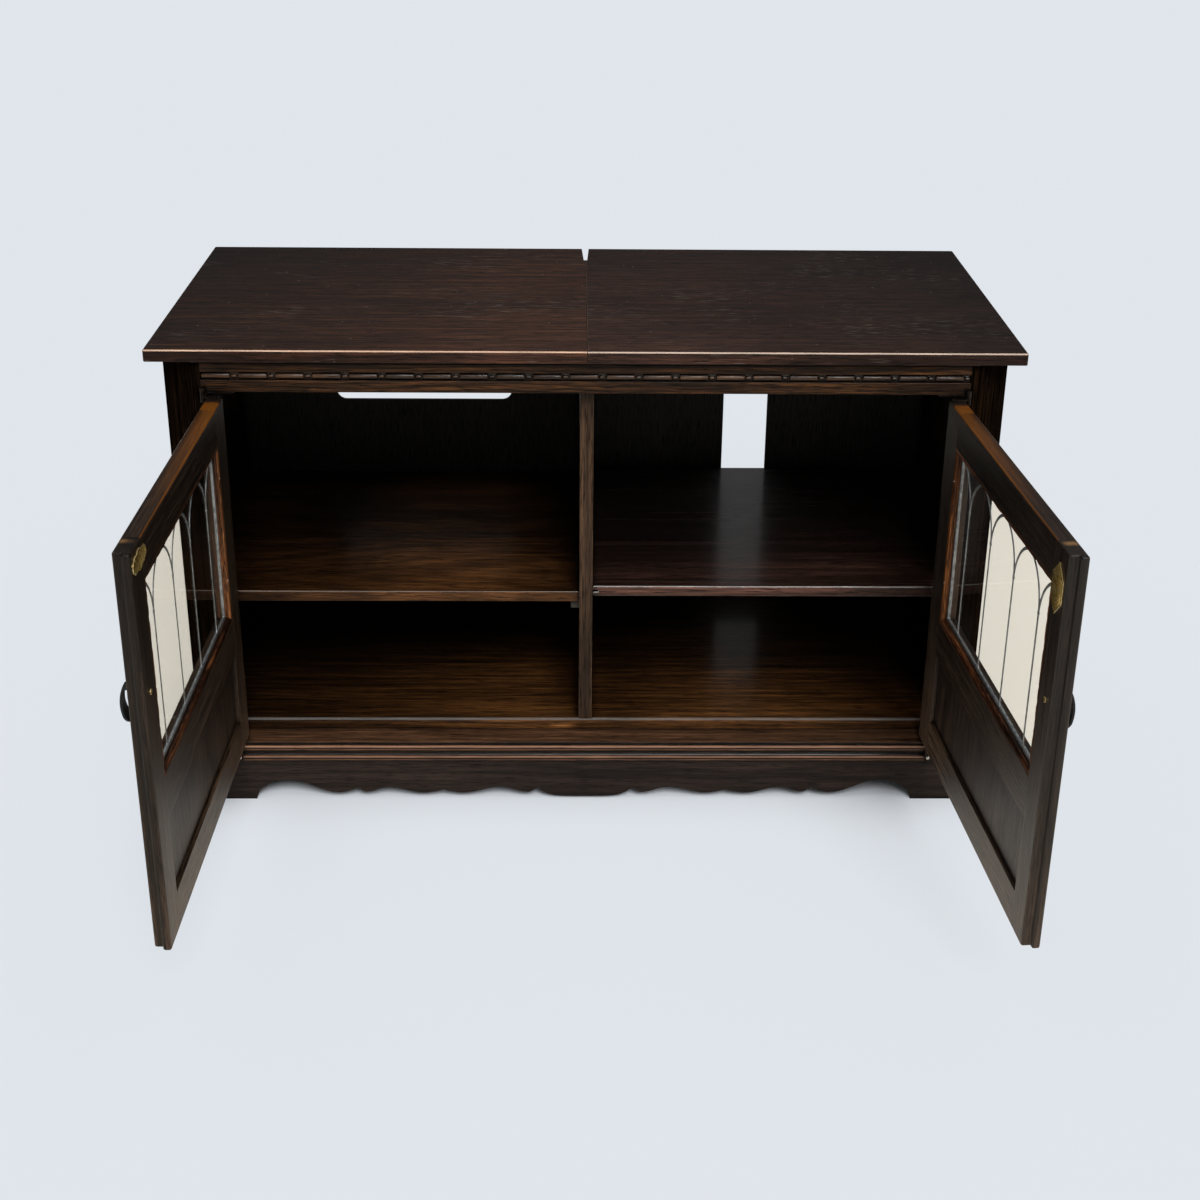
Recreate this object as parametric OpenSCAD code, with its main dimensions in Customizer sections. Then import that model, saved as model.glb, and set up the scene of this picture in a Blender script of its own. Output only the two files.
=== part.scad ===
// Two-door television cabinet in dark stained oak: two top leaves, canted and
// reeded corner posts, leaded glass doors that stand open, scalloped plinth.
// Millimetres. X runs left to right, Y from front to back, Z up from the floor.

/* [Cabinet] */
// overall width of the top
top_w = 1074; // [900:1:1200]
// depth of the top, front to back
top_d = 488; // [400:1:560]
// overall height
top_h = 634; // [540:1:700]
// thickness of the two top leaves
leaf_t = 15; // [12:0.5:22]
// setback of the carcass face behind the front edge of the top
face_back = 10; // [4:1:30]
// setback of the carcass sides inside the ends of the top
side_in = 11; // [4:1:30]
// thickness of the thin board under the leaves
sub_t = 4.5; // [3:0.5:9]
// width of the cable notch at the rear of the seam
notch_w = 10; // [6:1:20]
// length of the cable notch
notch_len = 62; // [30:1:100]

/* [Carcass] */
// width of the flat strip between a door and the canted corner
strip_w = 8; // [4:0.5:20]
// run of the canted corner, the same across and back
cant = 46.5; // [20:0.5:60]
// depth of the corner posts behind the carcass face
post_d = 70; // [50:1:90]
// thickness of the end panels
end_t = 16; // [12:1:22]
// thickness of the centre divider
divider_t = 17; // [12:1:22]
// height of the frieze rail
frieze_h = 37; // [30:0.5:60]
// thickness of the bottom board
bottom_t = 15; // [12:0.5:22]
// thickness of the shelves
shelf_t = 14; // [10:1:20]
// height of the left shelf's top over the bottom board
shelf_left_up = 185; // [100:1:300]
// height of the right shelf's top over the bottom board
shelf_right_up = 193; // [100:1:300]
// thickness of the back panel
back_t = 5; // [3:0.5:9]

/* [Base] */
// top of the ledge under the doors
ledge_z = 95; // [80:1:110]
// height of the plinth boards
plinth_h = 62; // [45:1:80]
// how far the reeded base moulding stands in front of the top
base_out = 5; // [0:1:12]
// setback of the base moulding inside the ends of the top
base_in = 4; // [0:1:20]
// depth of the moulding boards, front to back
base_deep = 45; // [40:1:60]
// thickness of the plinth boards
plinth_t = 20; // [14:1:25]
// height of the tall arch beside each foot
arch_h = 29.5; // [15:0.5:40]

/* [Doors] */
// angle at which the left door stands open
left_open = 91; // [0:1:170]
// angle at which the right door stands open
right_open = 94; // [0:1:170]
// door thickness
door_t = 20; // [16:0.5:25]
// gap between a door's end and the ledge or the frieze rail
door_gap = 4.5; // [3.5:0.1:8]
// width of the hinge stiles and of the meeting stiles
stile_w = 48; // [35:1:60]
// height of the door's top rail
top_rail_h = 44.5; // [36:0.5:60]
// height of the door's middle rail
mid_rail_h = 49; // [36:0.5:60]
// height of the door's bottom rail
low_rail_h = 46.5; // [36:0.5:60]
// height of the panel opening
panel_h = 97; // [60:1:140]
// overlap of the rebated meeting edges
lip = 6; // [4:0.5:10]

/* [Leaded glass] */
// number of upright leads in a door
leads = 4; // [2:1:6]
// width of a lead came
lead_w = 6; // [4:0.5:10]
// how far below the top of the opening the arches spring
spring_down = 66; // [50:1:90]

/* [Pulls] */
// height of the left pull plate over the door's bottom edge
left_pull_up = 307.5; // [200:0.5:380]
// height of the right pull plate over the door's bottom edge
right_pull_up = 299.5; // [200:0.5:380]
// distance of the drop's pin in front of the door
pull_reach = 4.2; // [4:0.1:6]
// how far the bowed leaf stands in front of the door
bow_out = 11.5; // [10:0.5:14]
// length of the drop below its pin
drop_len = 42; // [36:1:50]

/* [Hidden] */
$fn = 48;
fit = 0.06;

// heights
leaf_z = top_h - leaf_t;
sub_z = leaf_z - sub_t;
half_w = top_w / 2;
body_half = half_w - side_in;
base_half = half_w - base_in;
bay_half = body_half - cant - strip_w;
frieze_z = sub_z - frieze_h;
floor_z = ledge_z + bottom_t;
shelf_left_z = floor_z + shelf_left_up;
shelf_right_z = floor_z + shelf_right_up;
stop_y = face_back + door_t + 1.5;
rear_y = top_d - 6;
back_y = rear_y - 1 - back_t;
rail_t = 20;
post_back = face_back + post_d;
end_in = body_half - end_t;
div_half = divider_t / 2;
shelf_y0 = stop_y + 6.5;
shelf_y1 = back_y - 12;

// door, in its own frame: u from the pin towards the middle, v towards the back
pin_x = bay_half - 2.5;
pin_y = face_back - 4;
v_out = 4;
v_in = v_out + door_t;
u_edge = -0.5;
u_open0 = stile_w + u_edge;
meet_gap = 3.5;
u_meet = pin_x - meet_gap;
u_open1 = u_meet - stile_w + 9;
open_w = u_open1 - u_open0;
door_z0 = ledge_z + door_gap;
door_z1 = frieze_z - door_gap - 0.5;
panel_z0 = door_z0 + low_rail_h;
panel_z1 = panel_z0 + panel_h;
glass_z0 = panel_z1 + mid_rail_h;
glass_z1 = door_z1 - top_rail_h;
u_lip = u_meet + lip;
lip_mid = (v_out + v_in) / 2;
lip_gap = 0.5;
sight = 7;
lip_v = v_out + 8;
came_v = lip_v + 5.4;
glass_v0 = lip_v + 1.2;
glass_v1 = came_v - 1.2;
panel_v0 = 11;
panel_v1 = 19;
groove = 6.2;
tongue = 6;

// rear of the part less its furthest front point, so that the origin lies midway
left_front = pin_y - u_lip * sin(left_open) + v_in * cos(left_open);
right_front = pin_y - u_lip * sin(right_open) + (lip_mid - lip_gap) * cos(right_open);
origin_y = (top_d + min(left_front, right_front)) / 2;

wood_dark = [0.14, 0.09, 0.07];
wood_mid = [0.24, 0.14, 0.09];
wood_worn = [0.45, 0.25, 0.13];
lead_grey = [0.62, 0.64, 0.66];
glass_col = [0.82, 0.86, 0.86, 0.35];
brass_col = [0.75, 0.58, 0.25];
iron_col = [0.08, 0.08, 0.09];
steel_col = [0.6, 0.6, 0.58];

// leaded light
came_gap = 0.5;
edge_came = 11;
glass_in = 2.5;
lead_pitch = open_w / (leads + 0.15);
arch_r = 0.625 * lead_pitch;
spring_z = glass_z1 - spring_down;

// hinge plates
plate_t = 2.1;
plate_gap = 0.4;
plate_len = 36;
seat_reach = 15.5;
door_reach = 8;
apron_u = [-4, seat_reach];
apron_drop = 29;
apron_t = 2;
seat_screw_r = 2.6;
seat_screw_u = 11;
seat_screw_drop = [23, 8];
plate_v = 20;
knuckle_r = 3.4;
pin_r = 2;
knuckle_h = 9;

// shelf supports
stud_ys = [shelf_y0 + 12, shelf_y1 - 64];
stud_side_y = post_back + 20;
stud_r = 2.4;
stud_z = shelf_left_z - shelf_t - 6;
wire_side_ys = [post_back + 50, shelf_y1 - 64];
wire_div_ys = [shelf_y0 + 32, shelf_y1 - 64];
wire_d = 2.2;
hole_play = 0.1;

// fasteners
screw_r = 1.7;
screw_hole_r = 1.75;
leaf_screw_x = [0.19 * bay_half, 0.61 * bay_half, 0.95 * bay_half];
leaf_screw_in = [60, 48];
leaf_screw_y = [leaf_screw_in[0], top_d - leaf_screw_in[1]];
back_screw_in = [50, 54.5];
back_screw_z = [floor_z + back_screw_in[0], (floor_z + sub_z) / 2, sub_z - back_screw_in[1]];
back_screw_x = [0.31 * end_in, 0.65 * end_in, 0.94 * end_in];
back_rail_h = 28.5;
back_rail_z = sub_z - back_rail_h;
head_h = 2;

// frieze moulding
billets = 21;
billet_pitch = 2 * bay_half / billets;
billet_len = 35;
billet_z = sub_z - 16.5;
recess_h = 10;
recess_d = 5;

// drop pull
pull_u = u_meet - 18.5;
pull_pin_z = 7.5;
pull_pin_v = v_out - pull_reach;
plate_r = 13;
plate_thick = 1;
ear_in = 4.4;
ear_t = 2.2;
ear_r = 2.5;
stub_r = 1.4;
barrel_r = 2.4;
neck = 3.4;
drop_r = 9;
leaf_thick = 2.6;
leaf_over = 2.2;
bow_r = 45;
bow_v = v_out + bow_r - bow_out;
bow_z = pull_pin_z - 18;

// A box given by its limits along X, Y and Z.
module box(x, y, z) {
    translate([x[0], y[0], z[0]])
        cube([x[1] - x[0], y[1] - y[0], z[1] - z[0]]);
}

// Puts a carcass piece in the part's frame.
module placed() {
    translate([0, -origin_y, 0])
        children();
}

// Mirrors a left-hand piece to the right when side is 1.
module on_side(side) {
    mirror([side > 0 ? 1 : 0, 0, 0])
        children();
}

// Hangs a door piece on its pin and swings it open.
module hung(side) {
    swing = side > 0 ? right_open : -left_open;
    placed()
        translate([side * pin_x, pin_y, 0])
            rotate([0, 0, swing])
                on_side(side)
                    children();
}

// Cylinder along Y from y0 to y1.
module rod_y(r, x, z, y0, y1) {
    translate([x, y0, z])
        rotate([-90, 0, 0])
            cylinder(r = r, h = y1 - y0);
}

// Cylinder along X from x0 to x1.
module rod_x(r, y, z, x0, x1) {
    translate([x0, y, z])
        rotate([0, 90, 0])
            cylinder(r = r, h = x1 - x0);
}

// Upright cylinder from z0 to z1.
module rod_z(r, x, y, z0, z1) {
    translate([x, y, z0])
        cylinder(r = r, h = z1 - z0);
}

// Top

// Waste outside a rounded arris along X, for an edge at the origin facing -Y and +Z.
module arris_x(len, r) {
    difference() {
        box([-1, len + 1], [-1, r], [-r, 1]);
        rod_x(r, r, -r, -2, len + 2);
    }
}

// Waste outside a rounded arris along Y, for an edge facing -X and +Z.
module arris_y(len, r) {
    difference() {
        box([-1, r], [-1, len + 1], [-r, 1]);
        rod_y(r, r, -r, -2, len + 2);
    }
}

// Left leaf: outer corners rounded, rear inner corner tapered for the cables.
module leaf_left() {
    seam = 0.3;
    corner_r = 4;
    edge_r = 2.5;
    tip = 2.5;
    difference() {
        translate([0, 0, leaf_z])
            linear_extrude(leaf_t)
                difference() {
                    union() {
                        translate([-half_w, corner_r])
                            square([half_w - seam, top_d - 2 * corner_r]);
                        translate([-half_w + corner_r, 0])
                            square([half_w - corner_r - seam, top_d]);
                        translate([-half_w + corner_r, corner_r])
                            circle(r = corner_r);
                        translate([-half_w + corner_r, top_d - corner_r])
                            circle(r = corner_r);
                    }
                    polygon([
                        [1, top_d - notch_len], [-tip, top_d - notch_len],
                        [-notch_w / 2, top_d + 1], [1, top_d + 1]
                    ]);
                    translate([0, top_d - notch_len])
                        circle(r = tip);
                }
        translate([-half_w, 0, top_h])
            arris_x(half_w, edge_r);
        translate([-half_w, 0, top_h])
            arris_y(top_d, edge_r);
        for (x = leaf_screw_x, y = leaf_screw_y)
            rod_z(screw_hole_r, -x, y, leaf_z - 1, leaf_z + 10);
    }
}

module top_leaf_left() {
    color(wood_dark)
        placed()
            leaf_left();
}

module top_leaf_right() {
    color(wood_dark)
        placed()
            on_side(1)
                leaf_left();
}

// Thin board that ties the carcass together under the leaves.
module sub_top() {
    color(wood_mid)
        placed()
            difference() {
                translate([0, 0, sub_z])
                    linear_extrude(sub_t)
                        polygon([
                            [-body_half + cant, face_back], [body_half - cant, face_back],
                            [body_half, face_back + cant], [body_half, rear_y],
                            [-body_half, rear_y], [-body_half, face_back + cant]
                        ]);
                for (side = [-1, 1], x = leaf_screw_x, y = leaf_screw_y)
                    rod_z(screw_hole_r, side * x, y, sub_z - 1, leaf_z + 1);
            }
}

// Screws that hold the leaves down from below.
module leaf_screws() {
    color(steel_col)
        placed()
            for (side = [-1, 1], x = leaf_screw_x, y = leaf_screw_y) {
                rod_z(screw_r, side * x, y, sub_z - 0.5, leaf_z + 9);
                rod_z(3.6, side * x, y, sub_z - head_h, sub_z);
            }
}

// Carcass

module frieze_rail() {
    color(wood_mid)
        placed()
            difference() {
                box([-bay_half, bay_half], [face_back, stop_y], [frieze_z, sub_z]);
                box([-bay_half - 1, bay_half + 1], [face_back - 1, face_back + recess_d],
                    [billet_z - recess_h / 2, billet_z + recess_h / 2]);
            }
}

// Carved strip: long half-round billets with a smaller link between each pair.
module billet_moulding() {
    strip = 1.5;
    axis_y = face_back + recess_d - strip;
    billet_r = 3.7;
    link_r = 2.4;
    link_len = 6;
    color(wood_worn)
        placed()
            intersection() {
                union() {
                    box([-bay_half, bay_half], [axis_y, face_back + recess_d],
                        [billet_z - recess_h / 2, billet_z + recess_h / 2]);
                    for (i = [0 : billets - 1]) {
                        x0 = -bay_half + i * billet_pitch + 1;
                        rod_x(billet_r, axis_y, billet_z, x0, x0 + billet_len);
                        rod_x(link_r, axis_y, billet_z - 0.6, x0 + billet_len + 1,
                            x0 + billet_len + 1 + link_len);
                    }
                }
                box([-bay_half, bay_half], [face_back - 1, face_back + recess_d],
                    [billet_z - recess_h / 2, billet_z + recess_h / 2]);
            }
}

// Post with a canted face, cut with upright grooves that leave five reeds.
module post_left() {
    groove_r = 1.5;
    grooves = [2.7, 17.3, 39.6, 51.3, 63];
    difference() {
        translate([0, 0, ledge_z])
            linear_extrude(sub_z - ledge_z)
                polygon([
                    [-bay_half, face_back], [-body_half + cant, face_back],
                    [-body_half, face_back + cant], [-body_half, post_back],
                    [-bay_half, post_back]
                ]);
        for (s = grooves)
            rod_z(groove_r, -body_half + cant - s * cos(45), face_back + s * cos(45),
                ledge_z - 1, sub_z + 1);
    }
}

module corner_post_left() {
    color(wood_dark)
        placed()
            post_left();
}

module corner_post_right() {
    color(wood_dark)
        placed()
            on_side(1)
                post_left();
}

module end_panel() {
    box([-body_half, -end_in], [post_back, rear_y], [ledge_z, sub_z]);
}

module end_panel_left() {
    color(wood_dark)
        placed()
            end_panel();
}

module end_panel_right() {
    color(wood_dark)
        placed()
            on_side(1)
                end_panel();
}

// Upright board between the bays, notched at the rear for the back rail.
module divider() {
    color(wood_dark)
        placed()
            difference() {
                box([-div_half, div_half], [stop_y, back_y], [floor_z, sub_z]);
                box([-div_half - 1, div_half + 1], [back_y - rail_t, back_y + 1],
                    [back_rail_z, sub_z + 1]);
                for (z = back_screw_z)
                    rod_y(screw_hole_r, 0, z, back_y - 12, back_y + 1);
                stud_holes();
                wire_holes();
            }
}

// Bottom board, notched round the posts.
module bottom_board() {
    color(wood_mid)
        placed()
            difference() {
                translate([0, 0, ledge_z])
                    linear_extrude(floor_z - ledge_z)
                        polygon([
                            [-bay_half, stop_y], [bay_half, stop_y],
                            [bay_half, post_back], [end_in, post_back],
                            [end_in, back_y], [-end_in, back_y],
                            [-end_in, post_back], [-bay_half, post_back]
                        ]);
                for (side = [-1, 1], x = back_screw_x)
                    rod_y(screw_hole_r, side * x, (ledge_z + floor_z) / 2,
                        back_y - 12, back_y + 1);
            }
}

// Shelf plan for the left bay, notched round the post.
module shelf_plan() {
    play = 1;
    polygon([
        [-bay_half + play, shelf_y0], [-div_half - play, shelf_y0],
        [-div_half - play, shelf_y1], [-end_in + play, shelf_y1],
        [-end_in + play, post_back + play], [-bay_half + play, post_back + play]
    ]);
}

module shelf_left() {
    color(wood_mid)
        placed()
            translate([0, 0, shelf_left_z - shelf_t])
                linear_extrude(shelf_t)
                    shelf_plan();
}

// Right shelf, with a saw kerf in each end for its bent wire supports.
module shelf_right() {
    kerf_h = wire_d + 0.6;
    kerf_d = 7;
    mid_z = shelf_right_z - shelf_t / 2;
    color(wood_mid)
        placed()
            difference() {
                translate([0, 0, shelf_right_z - shelf_t])
                    linear_extrude(shelf_t)
                        on_side(1)
                            shelf_plan();
                box([0, div_half + 1 + kerf_d], [0, shelf_y1 - 20],
                    [mid_z - kerf_h / 2, mid_z + kerf_h / 2]);
                box([end_in - 1 - kerf_d, end_in + 1], [0, shelf_y1 - 20],
                    [mid_z - kerf_h / 2, mid_z + kerf_h / 2]);
            }
}

// Holes for the studs in the divider's left face.
module stud_holes() {
    for (y = stud_ys)
        rod_x(stud_r + hole_play, y, stud_z, -div_half - 1, -div_half + 7);
}

// Holes for the wires in the divider's right face.
module wire_holes() {
    z = shelf_right_z - shelf_t / 2;
    for (y = wire_div_ys)
        rod_x(wire_d / 2 + hole_play, y, z, div_half - 7, div_half + 1);
}

// Four studs under the left shelf: pegged into the divider, fixed to the end panel.
module shelf_studs() {
    lug = 11;
    z = [shelf_left_z - shelf_t - 12, shelf_left_z - shelf_t];
    color(steel_col)
        placed() {
            for (y = stud_ys) {
                rod_x(stud_r, y, stud_z, -div_half - 1, -div_half + 6);
                box([-div_half - lug, -div_half], [y - 5, y + 5], z);
            }
            for (y = [stud_side_y, stud_ys[1]])
                box([-end_in, -end_in + lug], [y - 5, y + 5], z);
        }
}

// Bent wires in the kerfs of the right shelf.
module shelf_wires() {
    z = shelf_right_z - shelf_t / 2;
    in = 3.6;
    color(steel_col)
        placed() {
            rod_y(wire_d / 2, div_half + in, z, wire_div_ys[0], wire_div_ys[1]);
            for (y = wire_div_ys)
                rod_x(wire_d / 2, y, z, div_half - 6, div_half + in);
            rod_y(wire_d / 2, end_in - in, z, wire_side_ys[0], wire_side_ys[1]);
            for (y = wire_side_ys)
                rod_x(wire_d / 2, y, z, end_in - in, end_in);
        }
}

// Back panel with a long level slot on the left and a tall one on the right.
module back_panel() {
    bay_w = end_in - div_half;
    slot_l = [-div_half - 0.72 * bay_w, -div_half - 0.2 * bay_w];
    slot_lz = [sub_z - 208.5, sub_z - 156.5];
    slot_lr = 14;
    slot_r = [div_half + 0.4 * bay_w, div_half + 0.4 * bay_w + 66];
    slot_rz = [floor_z + 75, sub_z - 94.5];
    slot_rr = 5;
    color(wood_dark)
        placed()
            difference() {
                box([-end_in, end_in], [back_y, back_y + back_t], [ledge_z, sub_z]);
                rounded_slot(slot_l, slot_lz, slot_lr);
                rounded_slot(slot_r, slot_rz, slot_rr);
                for (p = back_screw_points())
                    rod_y(screw_hole_r, p[0], p[1], back_y - 1, back_y + back_t + 1);
            }
}

// Cutter for a slot with rounded corners through the back panel.
module rounded_slot(x, z, r) {
    y = [back_y - 1, back_y + back_t + 1];
    box([x[0] + r, x[1] - r], y, z);
    box(x, y, [z[0] + r, z[1] - r]);
    for (cx = [x[0] + r, x[1] - r], cz = [z[0] + r, z[1] - r])
        rod_y(r, cx, cz, y[0], y[1]);
}

function back_screw_points() = concat(
    [for (z = back_screw_z) [0, z]],
    [for (side = [-1, 1], x = back_screw_x) [side * x, (ledge_z + floor_z) / 2]],
    [for (side = [-1, 1], x = back_screw_x) [side * x, (back_rail_z + sub_z) / 2]]
);

module back_screws() {
    color(steel_col)
        placed()
            for (p = back_screw_points()) {
                rod_y(screw_r, p[0], p[1], back_y - 10, back_y + back_t + 0.5);
                rod_y(3.4, p[0], p[1], back_y + back_t, back_y + back_t + head_h);
            }
}

module back_rail() {
    color(wood_dark)
        placed()
            difference() {
                box([-end_in, end_in], [back_y - rail_t, back_y], [back_rail_z, sub_z]);
                for (side = [-1, 1], x = back_screw_x)
                    rod_y(screw_hole_r, side * x, (back_rail_z + sub_z) / 2,
                        back_y - 12, back_y + 1);
            }
}

// Base

// Section of the base moulding, as distance behind the crest and height.
module moulding_section() {
    reed_r = 4.5;
    upper_z = ledge_z - 7.6;
    lower_z = plinth_h + 10;
    difference() {
        square_from([0, plinth_h], [base_deep, ledge_z]);
        square_from([-1, ledge_z - 5.2], [3, ledge_z - 2]);
        square_from([-1, lower_z + reed_r], [4.5, upper_z - reed_r]);
        square_from([-1, plinth_h - 1], [8, lower_z - reed_r]);
        reed_waste(upper_z, reed_r, 0);
        reed_waste(lower_z, reed_r, 1.5);
    }
}

// Rectangle between two corners.
module square_from(a, b) {
    translate(a)
        square([b[0] - a[0], b[1] - a[1]]);
}

// Waste in front of a half-round reed whose crest lies at depth d.
module reed_waste(z, r, d) {
    difference() {
        square_from([-1, z - r], [d + r, z + r]);
        translate([d + r, z])
            circle(r = r);
    }
}

module base_moulding_front() {
    inner = base_deep - base_out;
    color(wood_mid)
        placed()
            intersection() {
                translate([-base_half, -base_out, 0])
                    rotate([90, 0, 90])
                        linear_extrude(2 * base_half)
                            moulding_section();
                linear_extrude(ledge_z + 1)
                    polygon([
                        [-base_half, -base_out], [base_half, -base_out],
                        [base_half - base_deep, inner], [-base_half + base_deep, inner]
                    ]);
            }
}

// Side moulding, mitred to the front one.
module moulding_left() {
    intersection() {
        translate([-base_half, rear_y, 0])
            rotate([90, 0, 0])
                linear_extrude(rear_y + base_out)
                    moulding_section();
        linear_extrude(ledge_z + 1)
            polygon([
                [-base_half, -base_out], [-base_half + base_deep, base_deep - base_out],
                [-base_half + base_deep, rear_y], [-base_half, rear_y]
            ]);
    }
}

module base_moulding_left() {
    color(wood_mid)
        placed()
            moulding_left();
}

module base_moulding_right() {
    color(wood_mid)
        placed()
            on_side(1)
                moulding_left();
}

plinth_set = 12;
plinth_half = base_half - plinth_set;
plinth_y = -base_out + plinth_set;
foot_x = plinth_half - 79;
edge_k = foot_x / 442;
arch_x = 397 * edge_k;

// Turning points of the lower edge from the middle outwards: [x, height, sharp notch].
edge_points = [
    [0, 4.5, 0], [64, 17.5, 1], [77, 10.5, 0], [113, 19, 0], [164, 9.5, 0],
    [190, 14.5, 1], [218, 9.5, 0], [264, 18.5, 0], [294, 11, 0], [305, 17.5, 1],
    [331, 10, 0], [397, arch_h, 0]
];

// Height between two turning points: smooth at a plain one, steep at a notch.
function ease(a, b, t) =
    b[2] == 1 ? a[1] + (b[1] - a[1]) * pow(t, a[0] == 0 ? 5 : 1.7) :
    a[2] == 1 ? b[1] + (a[1] - b[1]) * pow(1 - t, 1.7) :
    a[1] + (b[1] - a[1]) * (1 - cos(180 * t)) / 2;

// Lower edge from the middle to the foot on the positive side.
function edge_half() = concat(
    [for (i = [0 : len(edge_points) - 2], k = [0 : 7])
        let (a = edge_points[i], b = edge_points[i + 1], t = k / 8)
        [edge_k * (a[0] + (b[0] - a[0]) * t), ease(a, b, t)]],
    [for (k = [0 : 12])
        let (w = 90 * k / 12)
        [arch_x + (foot_x - arch_x) * sin(w), arch_h * cos(w)]]
);

// Front plinth board with its scalloped lower edge.
module plinth_front() {
    edge = edge_half();
    n = len(edge);
    color(wood_mid)
        placed()
            translate([0, plinth_y + plinth_t, 0])
                rotate([90, 0, 0])
                    linear_extrude(plinth_t)
                        polygon(concat(
                            edge,
                            [[plinth_half, 0], [plinth_half, plinth_h],
                             [-plinth_half, plinth_h], [-plinth_half, 0]],
                            [for (i = [n - 1 : -1 : 1]) [-edge[i][0], edge[i][1]]]
                        ));
}

// Side plinth board, straight along the floor.
module plinth_side() {
    box([-plinth_half, -plinth_half + plinth_t], [plinth_y + plinth_t, rear_y],
        [0, plinth_h]);
}

module plinth_left() {
    color(wood_mid)
        placed()
            plinth_side();
}

module plinth_right() {
    color(wood_mid)
        placed()
            on_side(1)
                plinth_side();
}

// Rear board, held clear of the floor, between the side boards and mouldings.
module plinth_back() {
    low = plinth_half - plinth_t;
    high = base_half - base_deep;
    clear = 12;
    color(wood_mid)
        placed() {
            box([-low, low], [rear_y - plinth_t, rear_y], [clear, plinth_h]);
            box([-high, high], [rear_y - plinth_t, rear_y], [plinth_h - 1, ledge_z]);
        }
}

// Hinges

// Flat plate in plan: a nose round the pin and a leaf that reaches towards the middle.
module hinge_plan(reach) {
    circle(r = knuckle_r);
    square([knuckle_r, v_out + 1]);
    translate([0, v_out])
        square([reach, plate_v - v_out]);
}

// Carcass half of the top hinge: plate under the rail, knuckle and downward pin.
module seat_top() {
    z0 = frieze_z - plate_t;
    translate([0, 0, z0])
        linear_extrude(plate_t)
            hinge_plan(plate_len);
    rod_z(knuckle_r, 0, 0, z0, z0 + knuckle_h);
    rod_z(pin_r, 0, 0, z0 - knuckle_h, z0 + 1);
}

// Carcass half of the bottom hinge: plate on the ledge, pin, apron over the reeds.
module seat_bottom() {
    z1 = ledge_z + plate_t;
    apron_z = ledge_z - apron_drop;
    crest_v = -base_out - pin_y;
    translate([0, 0, ledge_z])
        linear_extrude(plate_t)
            hinge_plan(seat_reach);
    box(apron_u, [crest_v - apron_t, v_out - 0.5], [ledge_z, z1]);
    box(apron_u, [crest_v - apron_t, crest_v], [apron_z, z1]);
    rod_z(pin_r, 0, 0, z1 - 1, z1 + knuckle_h);
}

// Places a fixed hinge part on the pin line without the door's swing.
module at_pin(side) {
    placed()
        translate([side * pin_x, pin_y, 0])
            on_side(side)
                children();
}

module hinge_seat_top_left() {
    color(steel_col)
        at_pin(-1)
            seat_top();
}

module hinge_seat_top_right() {
    color(steel_col)
        at_pin(1)
            seat_top();
}

module hinge_seat_bottom_left() {
    color(steel_col)
        at_pin(-1)
            seat_bottom();
}

module hinge_seat_bottom_right() {
    color(steel_col)
        at_pin(1)
            seat_bottom();
}

// Round heads of the screws through the aprons.
module seat_screws() {
    apron_v = -base_out - pin_y - apron_t;
    color(steel_col)
        for (side = [-1, 1])
            at_pin(side)
                for (drop = seat_screw_drop)
                    rod_y(seat_screw_r, seat_screw_u, ledge_z - drop, apron_v - 1.2, apron_v);
}

// Door half of both hinges: plates on the door's ends with bored knuckles.
module door_hinges() {
    bore = pin_r + fit;
    top_z = [door_z1, frieze_z - plate_t - plate_gap];
    low_z = [ledge_z + plate_t + plate_gap, door_z0];
    difference() {
        union() {
            translate([0, 0, top_z[0]])
                linear_extrude(top_z[1] - top_z[0])
                    hinge_plan(door_reach);
            rod_z(knuckle_r, 0, 0, top_z[1] - knuckle_h, top_z[1]);
        }
        rod_z(bore, 0, 0, top_z[1] - knuckle_h - 1, top_z[1] + 1);
    }
    difference() {
        union() {
            translate([0, 0, low_z[0]])
                linear_extrude(low_z[1] - low_z[0])
                    hinge_plan(door_reach);
            rod_z(knuckle_r, 0, 0, low_z[0], low_z[0] + knuckle_h);
        }
        rod_z(bore, 0, 0, low_z[0] - 1, low_z[0] + knuckle_h + 1);
    }
}

module door_hinges_left() {
    color(steel_col)
        hung(-1)
            door_hinges();
}

module door_hinges_right() {
    color(steel_col)
        hung(1)
            door_hinges();
}

// Door frames

// Hinge stile with its glazing lip and the groove for the panel.
module hinge_stile() {
    difference() {
        union() {
            box([u_edge, u_open0], [v_out, v_in], [door_z0, door_z1]);
            box([u_open0 - 1, u_open0 + sight], [v_out, lip_v],
                [glass_z0 + sight, glass_z1 - sight]);
        }
        box([u_open0 - groove, u_open0 + 1], [panel_v0, panel_v1],
            [panel_z0 - groove, panel_z1 + groove]);
    }
}

// Meeting stile: the left one has its lip behind, the right one in front.
module meeting_stile(side) {
    lip_v_range = side < 0 ? [lip_mid + lip_gap, v_in] : [v_out, lip_mid - lip_gap];
    difference() {
        union() {
            box([u_open1, u_meet], [v_out, v_in], [door_z0, door_z1]);
            box([u_meet - 1, u_lip], lip_v_range, [door_z0, door_z1]);
            box([u_open1 - sight, u_open1 + 1], [v_out, lip_v],
                [glass_z0 + sight, glass_z1 - sight]);
        }
        box([u_open1 - 1, u_open1 + groove], [panel_v0, panel_v1],
            [panel_z0 - groove, panel_z1 + groove]);
        at_pull(side)
            rod_y(2.1, pull_u, 0, v_out - 1, v_in + 1);
    }
}

module door_top_rail() {
    box([u_open0, u_open1], [v_out, v_in], [glass_z1, door_z1]);
    box([u_open0, u_open1], [v_out, lip_v], [glass_z1 - sight, glass_z1 + 1]);
}

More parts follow.
